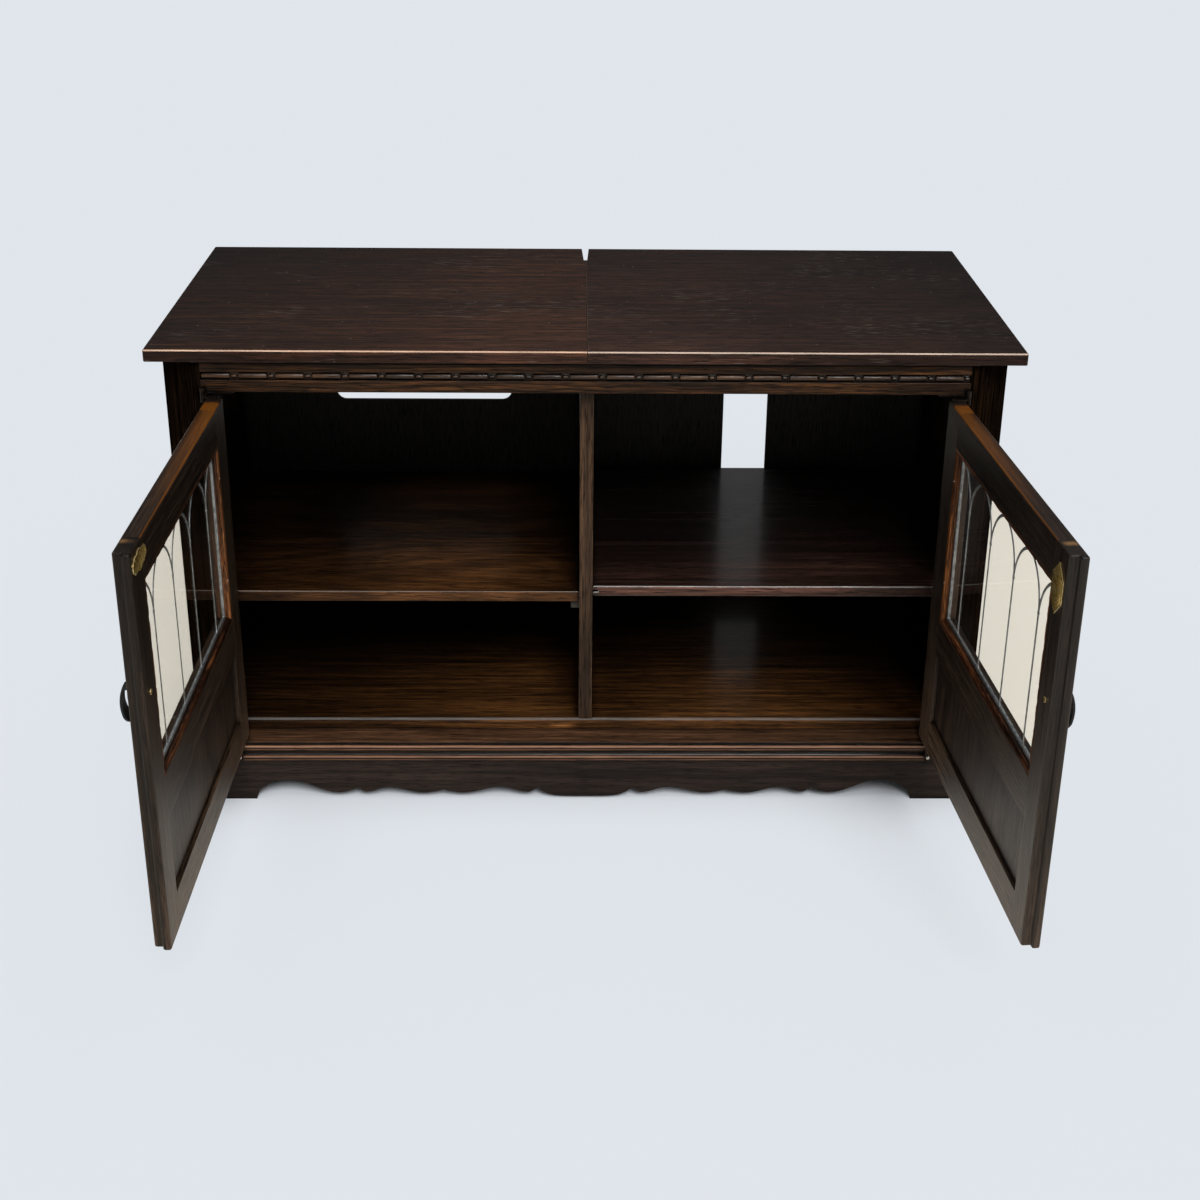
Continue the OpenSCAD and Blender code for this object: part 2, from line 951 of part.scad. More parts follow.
module door_mid_rail() {
    difference() {
        union() {
            box([u_open0, u_open1], [v_out, v_in], [panel_z1, glass_z0]);
            box([u_open0, u_open1], [v_out, lip_v], [glass_z0 - 1, glass_z0 + sight]);
        }
        box([u_open0 - 1, u_open1 + 1], [panel_v0, panel_v1],
            [panel_z1 - 1, panel_z1 + groove]);
    }
}

module door_bottom_rail() {
    difference() {
        box([u_open0, u_open1], [v_out, v_in], [door_z0, panel_z0]);
        box([u_open0 - 1, u_open1 + 1], [panel_v0, panel_v1],
            [panel_z0 - groove, panel_z0 + 1]);
    }
}

// Panel with a raised field on the outside.
module door_panel() {
    margin = 22;
    box([u_open0 - tongue, u_open1 + tongue], [panel_v0, panel_v1],
        [panel_z0 - tongue, panel_z1 + tongue]);
    box([u_open0 + margin, u_open1 - margin], [panel_v0 - 3, panel_v0 + 1],
        [panel_z0 + margin, panel_z1 - margin]);
}

// Glass pane, held in the edge cames.
module glass_block() {
    box([u_open0 + glass_in, u_open1 - glass_in], [glass_v0, glass_v1],
        [glass_z0 + glass_in, glass_z1 - glass_in]);
}

// Cames: a channel round the pane and a lattice of uprights with pointed heads.
module lead_lattice() {
    outer_u = [u_open0 + came_gap, u_open1 - came_gap];
    outer_z = [glass_z0 + came_gap, glass_z1 - came_gap];
    in_u = [u_open0 + edge_came, u_open1 - edge_came];
    in_z = [glass_z0 + edge_came, glass_z1 - edge_came];
    mid_u = (u_open0 + u_open1) / 2;
    difference() {
        union() {
            difference() {
                box(outer_u, [lip_v, came_v], outer_z);
                box(in_u, [lip_v - 1, came_v + 1], in_z);
            }
            intersection() {
                box([in_u[0] - 1, in_u[1] + 1], [lip_v, came_v],
                    [in_z[0] - 1, in_z[1] + 1]);
                for (k = [-(leads - 1) / 2 : 1 : (leads - 1) / 2]) {
                    u = mid_u + k * lead_pitch;
                    box([u - lead_w / 2, u + lead_w / 2], [lip_v, came_v],
                        [in_z[0] - 1, spring_z + 14]);
                    for (dir = [-1, 1])
                        arch_branch(u, dir);
                }
            }
        }
        glass_block();
    }
}

// One branch of an arched head, from the lead at u towards dir.
module arch_branch(u, dir) {
    reach = lead_pitch / 2 + lead_w / 3;
    span = dir > 0 ? [u - lead_w / 2, u + reach] : [u - reach, u + lead_w / 2];
    intersection() {
        difference() {
            rod_y(arch_r + lead_w / 2, u + dir * arch_r, spring_z, lip_v, came_v);
            rod_y(arch_r - lead_w / 2, u + dir * arch_r, spring_z, lip_v - 1, came_v + 1);
        }
        box(span, [lip_v, came_v], [spring_z, spring_z + arch_r + lead_w]);
    }
}

// Four mitred beads that hold the leaded light from the inside.
module glazing_beads() {
    o = [u_open0, glass_z0];
    e = [u_open1, glass_z1];
    for (p = [
        [[o[0], o[1]], [e[0], o[1]], [e[0] - sight, o[1] + sight], [o[0] + sight, o[1] + sight]],
        [[e[0], o[1]], [e[0], e[1]], [e[0] - sight, e[1] - sight], [e[0] - sight, o[1] + sight]],
        [[e[0], e[1]], [o[0], e[1]], [o[0] + sight, e[1] - sight], [e[0] - sight, e[1] - sight]],
        [[o[0], e[1]], [o[0], o[1]], [o[0] + sight, o[1] + sight], [o[0] + sight, e[1] - sight]]
    ])
        translate([0, v_in, 0])
            rotate([90, 0, 0])
                linear_extrude(v_in - came_v)
                    polygon(p);
}

// Plain brass plate, wide with scalloped ends.
module badge_wide() {
    c = [u_meet - 25.5, door_z1 - 18.5];
    translate([0, v_in + 1, 0])
        rotate([90, 0, 0])
            linear_extrude(1)
                union() {
                    square_from([c[0] - 20, c[1] - 9], [c[0] + 20, c[1] + 9]);
                    translate([c[0] - 20, c[1]])
                        circle(r = 7);
                    translate([c[0] + 20, c[1]])
                        circle(r = 7);
                    translate([c[0], c[1]])
                        circle(r = 12);
                }
}

// Plain brass plate, upright with pointed ends.
module badge_tall() {
    c = [u_meet - 22.5, door_z1 - 46.5];
    translate([0, v_in + 1, 0])
        rotate([90, 0, 0])
            linear_extrude(1)
                polygon([
                    [c[0] - 17, c[1] - 12], [c[0], c[1] - 29], [c[0] + 17, c[1] - 12],
                    [c[0] + 17, c[1] + 12], [c[0], c[1] + 29], [c[0] - 17, c[1] + 12]
                ]);
}

// Pulls, drawn with the fixing screw at height 0

// Lifts a pull's part to its height on the door.
module at_pull(side) {
    translate([0, 0, door_z0 + (side < 0 ? left_pull_up : right_pull_up)])
        children();
}

// Round plate with two ears, bored for the drop's stub pins.
module pull_plate() {
    difference() {
        union() {
            rod_y(plate_r, pull_u, 0, v_out - plate_thick, v_out);
            for (dir = [-1, 1])
                pull_ear(pull_u + dir * (ear_in + ear_t / 2));
        }
        rod_x(stub_r + fit, pull_pin_v, pull_pin_z, pull_u - 20, pull_u + 20);
    }
}

// One ear of the pull plate, centred at u.
module pull_ear(u) {
    box([u - ear_t / 2, u + ear_t / 2], [pull_pin_v, v_out - plate_thick / 2],
        [pull_pin_z - ear_r, pull_pin_z + ear_r]);
    rod_x(ear_r, pull_pin_v, pull_pin_z, u - ear_t / 2, u + ear_t / 2);
}

// Fixing screw, with its brass head on the inside of the stile.
module pull_screw() {
    rod_y(2, pull_u, 0, v_out, v_in);
    rod_y(3.3, pull_u, 0, v_in, v_in + 0.9);
}

// Drop: a barrel with stub pins and a bowed leaf that widens to a round foot.
module drop_pull() {
    foot_z = pull_pin_z - drop_len + drop_r;
    rod_x(barrel_r, pull_pin_v, pull_pin_z, pull_u - ear_in + 0.4, pull_u + ear_in - 0.4);
    rod_x(stub_r, pull_pin_v, pull_pin_z, pull_u - ear_in - ear_t, pull_u + ear_in + ear_t);
    intersection() {
        difference() {
            rod_x(bow_r, bow_v, bow_z, pull_u - 20, pull_u + 20);
            rod_x(bow_r - leaf_thick, bow_v, bow_z, pull_u - 21, pull_u + 21);
        }
        translate([0, v_out, 0])
            rotate([90, 0, 0])
                linear_extrude(bow_out + 1)
                    union() {
                        polygon([
                            [pull_u - neck, pull_pin_z + leaf_over], [pull_u - drop_r, foot_z],
                            [pull_u + drop_r, foot_z], [pull_u + neck, pull_pin_z + leaf_over]
                        ]);
                        translate([pull_u, foot_z])
                            circle(r = drop_r);
                    }
    }
}

// Left door pieces

module hinge_stile_left() {
    color(wood_dark)
        hung(-1)
            hinge_stile();
}

module meeting_stile_left() {
    color(wood_dark)
        hung(-1)
            meeting_stile(-1);
}

module door_top_rail_left() {
    color(wood_dark)
        hung(-1)
            door_top_rail();
}

module door_mid_rail_left() {
    color(wood_dark)
        hung(-1)
            door_mid_rail();
}

module door_bottom_rail_left() {
    color(wood_dark)
        hung(-1)
            door_bottom_rail();
}

module door_panel_left() {
    color(wood_dark)
        hung(-1)
            door_panel();
}

module door_glass_left() {
    color(glass_col)
        hung(-1)
            glass_block();
}

module door_lead_left() {
    color(lead_grey)
        hung(-1)
            lead_lattice();
}

module glazing_beads_left() {
    color(wood_worn)
        hung(-1)
            glazing_beads();
}

module badge_left() {
    color(brass_col)
        hung(-1)
            badge_wide();
}

module pull_plate_left() {
    color(iron_col)
        hung(-1)
            at_pull(-1)
                pull_plate();
}

module pull_screw_left() {
    color(brass_col)
        hung(-1)
            at_pull(-1)
                pull_screw();
}

module drop_pull_left() {
    color(iron_col)
        hung(-1)
            at_pull(-1)
                drop_pull();
}

// Right door pieces

module hinge_stile_right() {
    color(wood_dark)
        hung(1)
            hinge_stile();
}

module meeting_stile_right() {
    color(wood_dark)
        hung(1)
            meeting_stile(1);
}

module door_top_rail_right() {
    color(wood_dark)
        hung(1)
            door_top_rail();
}

module door_mid_rail_right() {
    color(wood_dark)
        hung(1)
            door_mid_rail();
}

module door_bottom_rail_right() {
    color(wood_dark)
        hung(1)
            door_bottom_rail();
}

module door_panel_right() {
    color(wood_dark)
        hung(1)
            door_panel();
}

module door_glass_right() {
    color(glass_col)
        hung(1)
            glass_block();
}

module door_lead_right() {
    color(lead_grey)
        hung(1)
            lead_lattice();
}

module glazing_beads_right() {
    color(wood_worn)
        hung(1)
            glazing_beads();
}

module badge_right() {
    color(brass_col)
        hung(1)
            badge_tall();
}

module pull_plate_right() {
    color(iron_col)
        hung(1)
            at_pull(1)
                pull_plate();
}

module pull_screw_right() {
    color(brass_col)
        hung(1)
            at_pull(1)
                pull_screw();
}

module drop_pull_right() {
    color(iron_col)
        hung(1)
            at_pull(1)
                drop_pull();
}

top_leaf_left();
top_leaf_right();
sub_top();
frieze_rail();
billet_moulding();
corner_post_left();
corner_post_right();
end_panel_left();
end_panel_right();
divider();
bottom_board();
shelf_left();
shelf_right();
shelf_studs();
shelf_wires();
back_panel();
back_rail();
base_moulding_front();
base_moulding_left();
base_moulding_right();
plinth_front();
plinth_left();
plinth_right();
plinth_back();
leaf_screws();
back_screws();
hinge_seat_top_left();
hinge_seat_top_right();
hinge_seat_bottom_left();
hinge_seat_bottom_right();
seat_screws();
hinge_stile_left();
meeting_stile_left();
door_top_rail_left();
door_mid_rail_left();
door_bottom_rail_left();
door_panel_left();
door_glass_left();
door_lead_left();
glazing_beads_left();
badge_left();
pull_plate_left();
pull_screw_left();
drop_pull_left();
door_hinges_left();
hinge_stile_right();
meeting_stile_right();
door_top_rail_right();
door_mid_rail_right();
door_bottom_rail_right();
door_panel_right();
door_glass_right();
door_lead_right();
glazing_beads_right();
badge_right();
pull_plate_right();
pull_screw_right();
drop_pull_right();
door_hinges_right();
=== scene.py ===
import math
from functools import partial

import bmesh
import bpy
from mathutils import Matrix, Vector, noise


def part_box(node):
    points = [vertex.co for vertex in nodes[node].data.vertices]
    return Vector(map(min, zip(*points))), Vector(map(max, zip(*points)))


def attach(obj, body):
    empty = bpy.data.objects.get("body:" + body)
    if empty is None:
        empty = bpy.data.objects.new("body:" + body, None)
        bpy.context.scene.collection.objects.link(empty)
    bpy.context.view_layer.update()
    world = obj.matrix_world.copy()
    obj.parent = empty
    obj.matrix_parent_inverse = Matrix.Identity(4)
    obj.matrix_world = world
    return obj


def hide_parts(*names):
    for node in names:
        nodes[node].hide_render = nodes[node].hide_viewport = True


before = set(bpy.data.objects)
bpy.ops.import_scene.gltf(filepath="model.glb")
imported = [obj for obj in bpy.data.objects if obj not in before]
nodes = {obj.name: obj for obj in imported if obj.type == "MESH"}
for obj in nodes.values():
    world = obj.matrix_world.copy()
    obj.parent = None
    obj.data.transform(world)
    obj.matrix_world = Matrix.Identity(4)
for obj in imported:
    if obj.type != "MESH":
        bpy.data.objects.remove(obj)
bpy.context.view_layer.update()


# The room
# Pale seamless paper in a dim studio: the walls are dark, the ceiling is bright,
# and one large, far softbox shines from in front, above the camera and to its right.

def linear(code):
    """An sRGB hex colour as linear RGBA."""
    parts = [int(code[i:i + 2], 16) / 255 for i in (0, 2, 4)]
    return [c / 12.92 if c <= 0.04045 else ((c + 0.055) / 1.055) ** 2.4 for c in parts] + [1.0]


def grey(level):
    """A neutral linear colour."""
    return [level, level, level, 1.0]


def add(tree, kind, inputs=None, stops=None, **settings):
    """A node with its settings. inputs gives each socket a value, or the node or output
    that feeds it, and stops are the places and colours of a ramp."""
    node = tree.nodes.new(kind)
    for key, value in settings.items():
        setattr(node, key, value)
    for key, value in (inputs or {}).items():
        if isinstance(value, bpy.types.Node):
            value = next(socket for socket in value.outputs if socket.enabled)
        if isinstance(value, bpy.types.NodeSocket):
            tree.links.new(value, node.inputs[key])
        else:
            node.inputs[key].default_value = value
    if stops:
        ramp = node.color_ramp
        while len(ramp.elements) < len(stops):
            ramp.elements.new(0.5)
        for element, (place, colour) in zip(ramp.elements, stops):
            element.position = place
            element.color = colour
    return node


def fresh(name):
    """An empty material with its output node."""
    material = bpy.data.materials.new(name)
    material.use_nodes = True
    material.node_tree.nodes.clear()
    return material, material.node_tree, material.node_tree.nodes.new("ShaderNodeOutputMaterial")


scene = bpy.context.scene
scene.view_settings.view_transform = "Standard"

# The studio lights the cabinet, and behind it the eye sees only paper.
PAPER = linear("E1E6EC")
world = bpy.data.worlds.new("studio")
scene.world = world
world.use_nodes = True
sky = world.node_tree
sky.nodes.clear()
direction = add(sky, "ShaderNodeTexCoord")
parts = add(sky, "ShaderNodeSeparateXYZ", {0: direction.outputs["Generated"]})
LEVELS = [(0.0, grey(0.14)), (0.38, grey(0.16)), (0.62, grey(0.5)), (0.82, grey(1.0))]
ceiling = add(sky, "ShaderNodeValToRGB", {0: parts.outputs["Z"]}, LEVELS)
air = add(sky, "ShaderNodeBackground", {"Color": ceiling, "Strength": 0.62})
backdrop = add(sky, "ShaderNodeBackground", {"Color": PAPER, "Strength": 1.0})
ray = add(sky, "ShaderNodeLightPath")
seen = add(sky, "ShaderNodeMath", {
    0: ray.outputs["Is Camera Ray"], 1: ray.outputs["Is Transmission Ray"]}, operation="MAXIMUM")
around = add(sky, "ShaderNodeMixShader", {0: seen, 1: air, 2: backdrop})
add(sky, "ShaderNodeOutputWorld", {"Surface": around})

SHINES_TOWARDS = Vector((-0.2, 1.0, -0.92))
softbox = bpy.data.lights.new("softbox", "SUN")
softbox.angle = math.radians(24)
softbox.energy = 2.6
lamp = bpy.data.objects.new("softbox", softbox)
lamp.matrix_world = SHINES_TOWARDS.to_track_quat("-Z", "Y").to_matrix().to_4x4()
scene.collection.objects.link(lamp)

# Rays that see the paper find most of its own colour laid on it, so that shadows on
# it stay faint, except close to the cabinet's feet. Through the glass and in the
# polish the paper looks warmer.
WARM_PAPER = linear("FAF3E4")
paper, tree, out = fresh("seamless_paper")
shaded = add(tree, "ShaderNodeBsdfDiffuse", {"Color": PAPER})
ray = add(tree, "ShaderNodeLightPath")
tint = add(tree, "ShaderNodeMix", {
    0: ray.outputs["Is Camera Ray"], 6: WARM_PAPER, 7: PAPER}, data_type="RGBA")
plain = add(tree, "ShaderNodeEmission", {"Color": tint, "Strength": 1.0})
seen = ray.outputs["Is Camera Ray"]
for kind in ("Is Glossy Ray", "Is Transmission Ray"):
    seen = add(tree, "ShaderNodeMath", {0: seen, 1: ray.outputs[kind]}, operation="MAXIMUM")
near = add(tree, "ShaderNodeAmbientOcclusion", {"Distance": 0.26}, samples=8)
open_air = add(tree, "ShaderNodeMapRange", {
    "Value": near.outputs["AO"], "From Min": 0.2, "From Max": 0.75, "To Min": 0.0, "To Max": 0.86})
share = add(tree, "ShaderNodeMath", {0: seen, 1: open_air}, operation="MULTIPLY")
surface = add(tree, "ShaderNodeMixShader", {0: share, 1: shaded, 2: plain})
tree.links.new(surface.outputs[0], out.inputs["Surface"])
FLOOR_REACH = 40
bm = bmesh.new()
bmesh.ops.create_grid(bm, x_segments=2, y_segments=2, size=FLOOR_REACH)
mesh = bpy.data.meshes.new("floor")
bm.to_mesh(mesh)
bm.free()
floor = bpy.data.objects.new("floor", mesh)
floor.data.materials.append(paper)
scene.collection.objects.link(floor)

# The camera stands 2.1 m from the middle of the cabinet and looks down on it.
EYE = Vector((-0.01841, -2.10939, 1.3068))
pitch, yaw, roll = (math.radians(a) for a in (24.05, 1.21, 0.64))
reach = math.cos(pitch)
forward = Vector((math.sin(yaw) * reach, math.cos(yaw) * reach, -math.sin(pitch)))
level_right = forward.cross(Vector((0, 0, 1))).normalized()
level_up = level_right.cross(forward)
across = level_right * math.cos(roll) + level_up * math.sin(roll)
above = level_up * math.cos(roll) - level_right * math.sin(roll)
view = bpy.data.cameras.new("camera")
view.sensor_width = 36
view.lens = 54.35
view.shift_x = -0.0056
view.shift_y = -0.0406
view.clip_start = 0.05
camera = bpy.data.objects.new("camera", view)
turned = Matrix((across, above, -forward)).transposed().to_4x4()
camera.matrix_world = Matrix.Translation(EYE) @ turned
scene.collection.objects.link(camera)
scene.camera = camera


# Top leaves
# Two boards of oak, stained nearly black with a red-brown cast and polished to a
# satin sheen. The grain runs from end to end, fine scratches and specks catch the
# light, and the front arris is rubbed through to paler wood and painted with a
# highlight. Light and shade are painted on the top as well.

def grain(tree, lie, length, width, detail=3.0, roughness=0.55, distortion=0.0):
    """Noise drawn out along the grain; length and width in millimetres."""
    drawn = add(tree, "ShaderNodeMapping", {
        "Vector": lie, "Scale": (1000 / length, 1000 / width, 1000 / width)})
    return add(tree, "ShaderNodeTexNoise", {
        "Vector": drawn, "Scale": 1.0, "Detail": detail, "Roughness": roughness,
        "Distortion": distortion}).outputs["Fac"]


def growth_rings(tree, lie, pitch, bend):
    """Level lines pitch mm apart, which a slow noise bends by a share of bend into the
    arches of flat-sawn oak; from -1 to 1."""
    lain = add(tree, "ShaderNodeSeparateXYZ", {0: lie})
    across = add(tree, "ShaderNodeMath", {
        0: lain.outputs["Y"], 1: lain.outputs["Z"]}, operation="ADD")
    slow = grain(tree, lie, 460, 80, detail=2.5, roughness=0.45)
    bent_by = add(tree, "ShaderNodeMath", {0: slow, 1: math.tau * bend}, operation="MULTIPLY")
    phase = add(tree, "ShaderNodeMath", {
        0: across, 1: math.tau * 1000 / pitch, 2: bent_by}, operation="MULTIPLY_ADD")
    return add(tree, "ShaderNodeMath", {0: phase}, operation="SINE")


def sharp_edges(tree, soft, none, full):
    """A mask of sharp edges, from how far the rounded normal soft turns from the true one."""
    true = add(tree, "ShaderNodeNewGeometry").outputs["Normal"]
    turned = add(tree, "ShaderNodeVectorMath", {0: soft, 1: true}, operation="DOT_PRODUCT")
    return add(tree, "ShaderNodeMapRange", {
        "Value": turned.outputs["Value"], "From Min": none, "From Max": full})


def dust_marks(tree, place, lie, dust):
    """Specks of dust, and short pale scratches along the grain, in patches."""
    cell = add(tree, "ShaderNodeTexVoronoi", {"Vector": place, "Scale": 42.0})
    speck = add(tree, "ShaderNodeMapRange", {
        "Value": cell.outputs["Distance"], "From Min": 0.055, "From Max": 0.02, "To Max": dust})
    spread = add(tree, "ShaderNodeMapRange", {
        "Value": grain(tree, lie, 170, 120), "From Min": 0.5, "From Max": 0.68, "To Max": dust})
    fine = add(tree, "ShaderNodeMapRange", {
        "Value": grain(tree, lie, 30, 1.5, detail=1.0), "From Min": 0.63, "From Max": 0.73})
    scratch = add(tree, "ShaderNodeMath", {0: spread, 1: fine}, operation="MULTIPLY")
    return add(tree, "ShaderNodeMath", {0: speck, 1: scratch}, operation="MAXIMUM", use_clamp=True)


def stained_oak(
        name, dark, mid, light, turn=(0, 0, 0), shift=0.0, streaks=13, lines=2.3, pitch=9, bend=3.0,
        figure=0.2, blotch=0.25, rough=0.4, shine=0.12, coat=0.0, worn="7A5A44", wear=0.5, corner_shade=0.8,
        tooth=0.0006, arris=None, shade=None, dust=0.0):
    """Stained oak. turn brings the grain to X, streaks and lines are widths in mm, the
    rings lie pitch mm apart and are bent by a share of bend, and arris and shade take
    (tree, x, y, z) and give a mask of rubbed wood with painted highlights and a factor
    on the tone that paints light and shade, and on the bottom board a bare patch.
    Corners and hollows are darkened with painted shade."""
    material, tree, out = fresh(name)
    place = add(tree, "ShaderNodeTexCoord").outputs["Object"]
    xyz = add(tree, "ShaderNodeSeparateXYZ", {0: place})
    lie = add(tree, "ShaderNodeMapping", {
        "Vector": place, "Rotation": turn, "Location": (shift, shift * 0.37, shift * 0.71)})

    # streaks of growth, fine lines between them, clouds of stain, and open pores,
    # which are 0.3 mm wide on real oak and are drawn wider, so that they show
    streak = grain(tree, lie, 30 * streaks, streaks, detail=6.0, roughness=0.62, distortion=0.4)
    line = grain(tree, lie, 40 * lines, lines)
    cloud = grain(tree, lie, 260, 110)
    pore = grain(tree, lie, 24, 1.1, detail=2.0)
    half = add(tree, "ShaderNodeMath", {0: line, 1: 0.45}, operation="MULTIPLY")
    mixed = add(tree, "ShaderNodeMath", {0: streak, 1: 0.55, 2: half}, operation="MULTIPLY_ADD")
    base = add(tree, "ShaderNodeValToRGB", {0: mixed}, [
        (0.36, linear(dark)), (0.50, linear(mid)), (0.66, linear(light))])

    # the rings, and clouds of stain, set the tone
    ring = growth_rings(tree, lie, pitch, bend)
    ring_tone = add(tree, "ShaderNodeMapRange", {
        "Value": ring, "From Min": -1.0, "From Max": 0.6, "To Min": 1.0 - figure,
        "To Max": 1.0 + figure * 0.5})
    cloud_tone = add(tree, "ShaderNodeMapRange", {
        "Value": cloud, "From Min": 0.35, "From Max": 0.68, "To Min": 1.0 - blotch,
        "To Max": 1.0 + blotch})
    tone = add(tree, "ShaderNodeMath", {0: ring_tone, 1: cloud_tone}, operation="MULTIPLY")
    if shade:
        tone = add(tree, "ShaderNodeMath", {
            0: tone, 1: shade(tree, *xyz.outputs)}, operation="MULTIPLY")

    # painted shade: every corner and hollow is darkened to 12 mm from it
    hollow = add(tree, "ShaderNodeAmbientOcclusion", {"Distance": 0.012}, samples=4)
    unshaded = add(tree, "ShaderNodeMapRange", {
        "Value": hollow.outputs["AO"], "From Min": 0.55, "From Max": 0.95, "To Min": 1.0 - corner_shade,
        "To Max": 1.0})
    tone = add(tree, "ShaderNodeMath", {0: tone, 1: unshaded}, operation="MULTIPLY")
    toned = add(tree, "ShaderNodeVectorMath", {0: base, "Scale": tone}, operation="SCALE")
    pores = add(tree, "ShaderNodeMapRange", {"Value": pore, "From Min": 0.53, "From Max": 0.66})
    pored = add(tree, "ShaderNodeMix", {
        0: pores, 6: toned, 7: linear("5E544E")}, data_type="RGBA", blend_type="MULTIPLY")

    # wear: sharp edges lose their stain in patches, and hands polish them
    soft = add(tree, "ShaderNodeBevel", {"Radius": 0.0013}, samples=6)
    edge = sharp_edges(tree, soft, 0.99, 0.86)
    patchy = add(tree, "ShaderNodeMapRange", {
        "Value": grain(tree, lie, 40, 14, detail=5.0, roughness=0.7), "From Min": 0.42,
        "From Max": 0.64, "To Min": 0.1 * wear, "To Max": wear})
    rubbed = add(tree, "ShaderNodeMath", {0: edge, 1: patchy}, operation="MULTIPLY")
    rubbed = add(tree, "ShaderNodeMath", {0: rubbed, 1: unshaded}, operation="MULTIPLY")
    # the arris masks add rubbed wood and painted highlights
    if arris:
        uneven = add(tree, "ShaderNodeMapRange", {
            "Value": line, "From Min": 0.3, "From Max": 0.65, "To Min": 0.5})
        band = add(tree, "ShaderNodeMath", {
            0: arris(tree, *xyz.outputs), 1: uneven}, operation="MULTIPLY")
        rubbed = add(tree, "ShaderNodeMath", {
            0: rubbed, 1: band}, operation="MAXIMUM", use_clamp=True)
    finish = add(tree, "ShaderNodeMix", {0: rubbed, 6: pored, 7: linear(worn)}, data_type="RGBA")
    if dust:
        marks = dust_marks(tree, place, lie, dust)
        finish = add(tree, "ShaderNodeMix", {
            0: marks, 6: finish, 7: linear("A0968E")}, data_type="RGBA")

    # the surface: pores are sunk, and edges are smoother than the boards
    raised = add(tree, "ShaderNodeMath", {0: ring, 1: 0.12, 2: half}, operation="MULTIPLY_ADD")
    height = add(tree, "ShaderNodeMath", {0: pores, 1: -0.6, 2: raised}, operation="MULTIPLY_ADD")
    bump = add(tree, "ShaderNodeBump", {
        "Height": height, "Normal": soft, "Strength": 0.4, "Distance": tooth})
    satin = add(tree, "ShaderNodeMapRange", {
        "Value": streak, "From Min": 0.3, "From Max": 0.75, "To Min": rough - 0.05,
        "To Max": rough + 0.08})
    polished = add(tree, "ShaderNodeMath", {0: edge, 1: -0.14, 2: satin}, operation="MULTIPLY_ADD")
    shader = add(tree, "ShaderNodeBsdfPrincipled", {
        "Base Color": finish, "Normal": bump, "Roughness": polished, "Specular IOR Level": shine,
        "Coat Roughness": 0.17, "Coat IOR": 1.7})
    if coat:
        # wax lies on the faces that look upward, and they shine more than the others
        normal = add(tree, "ShaderNodeNewGeometry").outputs["Normal"]
        upward = add(tree, "ShaderNodeSeparateXYZ", {0: normal})
        laid = add(tree, "ShaderNodeMapRange", {
            "Value": upward.outputs["Z"], "From Min": 0.15, "From Max": 0.5, "To Max": coat})
        tree.links.new(laid.outputs[0], shader.inputs["Coat Weight"])
        sheen = add(tree, "ShaderNodeMapRange", {
            "Value": upward.outputs["Z"], "From Min": 0.15, "From Max": 0.5,
            "To Min": min(shine, 0.14), "To Max": shine})
        tree.links.new(sheen.outputs[0], shader.inputs["Specular IOR Level"])
    tree.links.new(shader.outputs[0], out.inputs["Surface"])
    return material


BEYOND = 0.01  # well past a face, in the masks that reach over it


def between(tree, value, low, high, soft):
    """1 where value lies between low and high, with soft ends."""
    rise = add(tree, "ShaderNodeMapRange", {
        "Value": value, "From Min": low - soft, "From Max": low + soft})
    fall = add(tree, "ShaderNodeMapRange", {
        "Value": value, "From Min": high + soft, "From Max": high - soft})
    return add(tree, "ShaderNodeMath", {0: rise, 1: fall}, operation="MULTIPLY")


def dress(material, *names):
    """Gives CAD nodes a finish."""
    for name in names:
        nodes[name].data.materials.clear()
        nodes[name].data.materials.append(material)


leaf_low, leaf_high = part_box("top_leaf_left")
FRONT = leaf_low.y
LEAF_ARRIS = 0.0016


def leaf_arris_worn_and_highlit(tree, x, y, z):
    """The front arris of the top, rubbed paler and painted with a highlight, and the
    right leaf's arris along the seam, which has less of both."""
    upper = between(tree, z, leaf_high.z - LEAF_ARRIS, leaf_high.z + 0.001, 0.0003)
    front = between(tree, y, FRONT - BEYOND, FRONT + LEAF_ARRIS, 0.0003)
    seam = between(tree, x, 0.0001, 0.0009, 0.0002)
    line = add(tree, "ShaderNodeMath", {
        0: seam, 1: 0.12, 2: front}, operation="MULTIPLY_ADD", use_clamp=True)
    return add(tree, "ShaderNodeMath", {0: upper, 1: line}, operation="MULTIPLY")


def leaf_painted_light(tree, x, y, z):
    """Painted light and shade: the top is painted browner in front and in the middle,
    and darker at the rear and the ends."""
    deep = add(tree, "ShaderNodeMapRange", {
        "Value": y, "From Min": FRONT, "From Max": FRONT + 0.47, "To Min": 1.25, "To Max": 0.55})
    aside = add(tree, "ShaderNodeMath", {0: x}, operation="ABSOLUTE")
    along = add(tree, "ShaderNodeMapRange", {
        "Value": aside, "From Min": 0.1, "From Max": 0.52, "To Min": 1.6, "To Max": 0.65})
    return add(tree, "ShaderNodeMath", {0: deep, 1: along}, operation="MULTIPLY")


top_left_oak = stained_oak(
    "polished_dark_oak_top_left", "150C08", "2C1B14", "482B1B", streaks=7, lines=1.3, pitch=8,
    bend=1.5, figure=0.1, worn="E6BFA2", wear=0.08, arris=leaf_arris_worn_and_highlit, shade=leaf_painted_light, dust=0.4)
top_right_oak = stained_oak(
    "polished_dark_oak_top_right", "130C09", "261813", "3C261C", shift=3.1, streaks=7, lines=1.3,
    pitch=8, bend=1.5, figure=0.1, worn="DCC2AE", wear=0.08, arris=leaf_arris_worn_and_highlit, shade=leaf_painted_light,
    dust=0.32)
dress(top_left_oak, "top_leaf_left")
dress(top_right_oak, "top_leaf_right")


# Board under the top, frieze rail and billet moulding
# Dark oak rails with the grain along the width. The billets are a carved strip of
# long half-round tablets with a small link between each pair, let into a sunk band.

WELD, HAIR = 0.00002, 0.0001


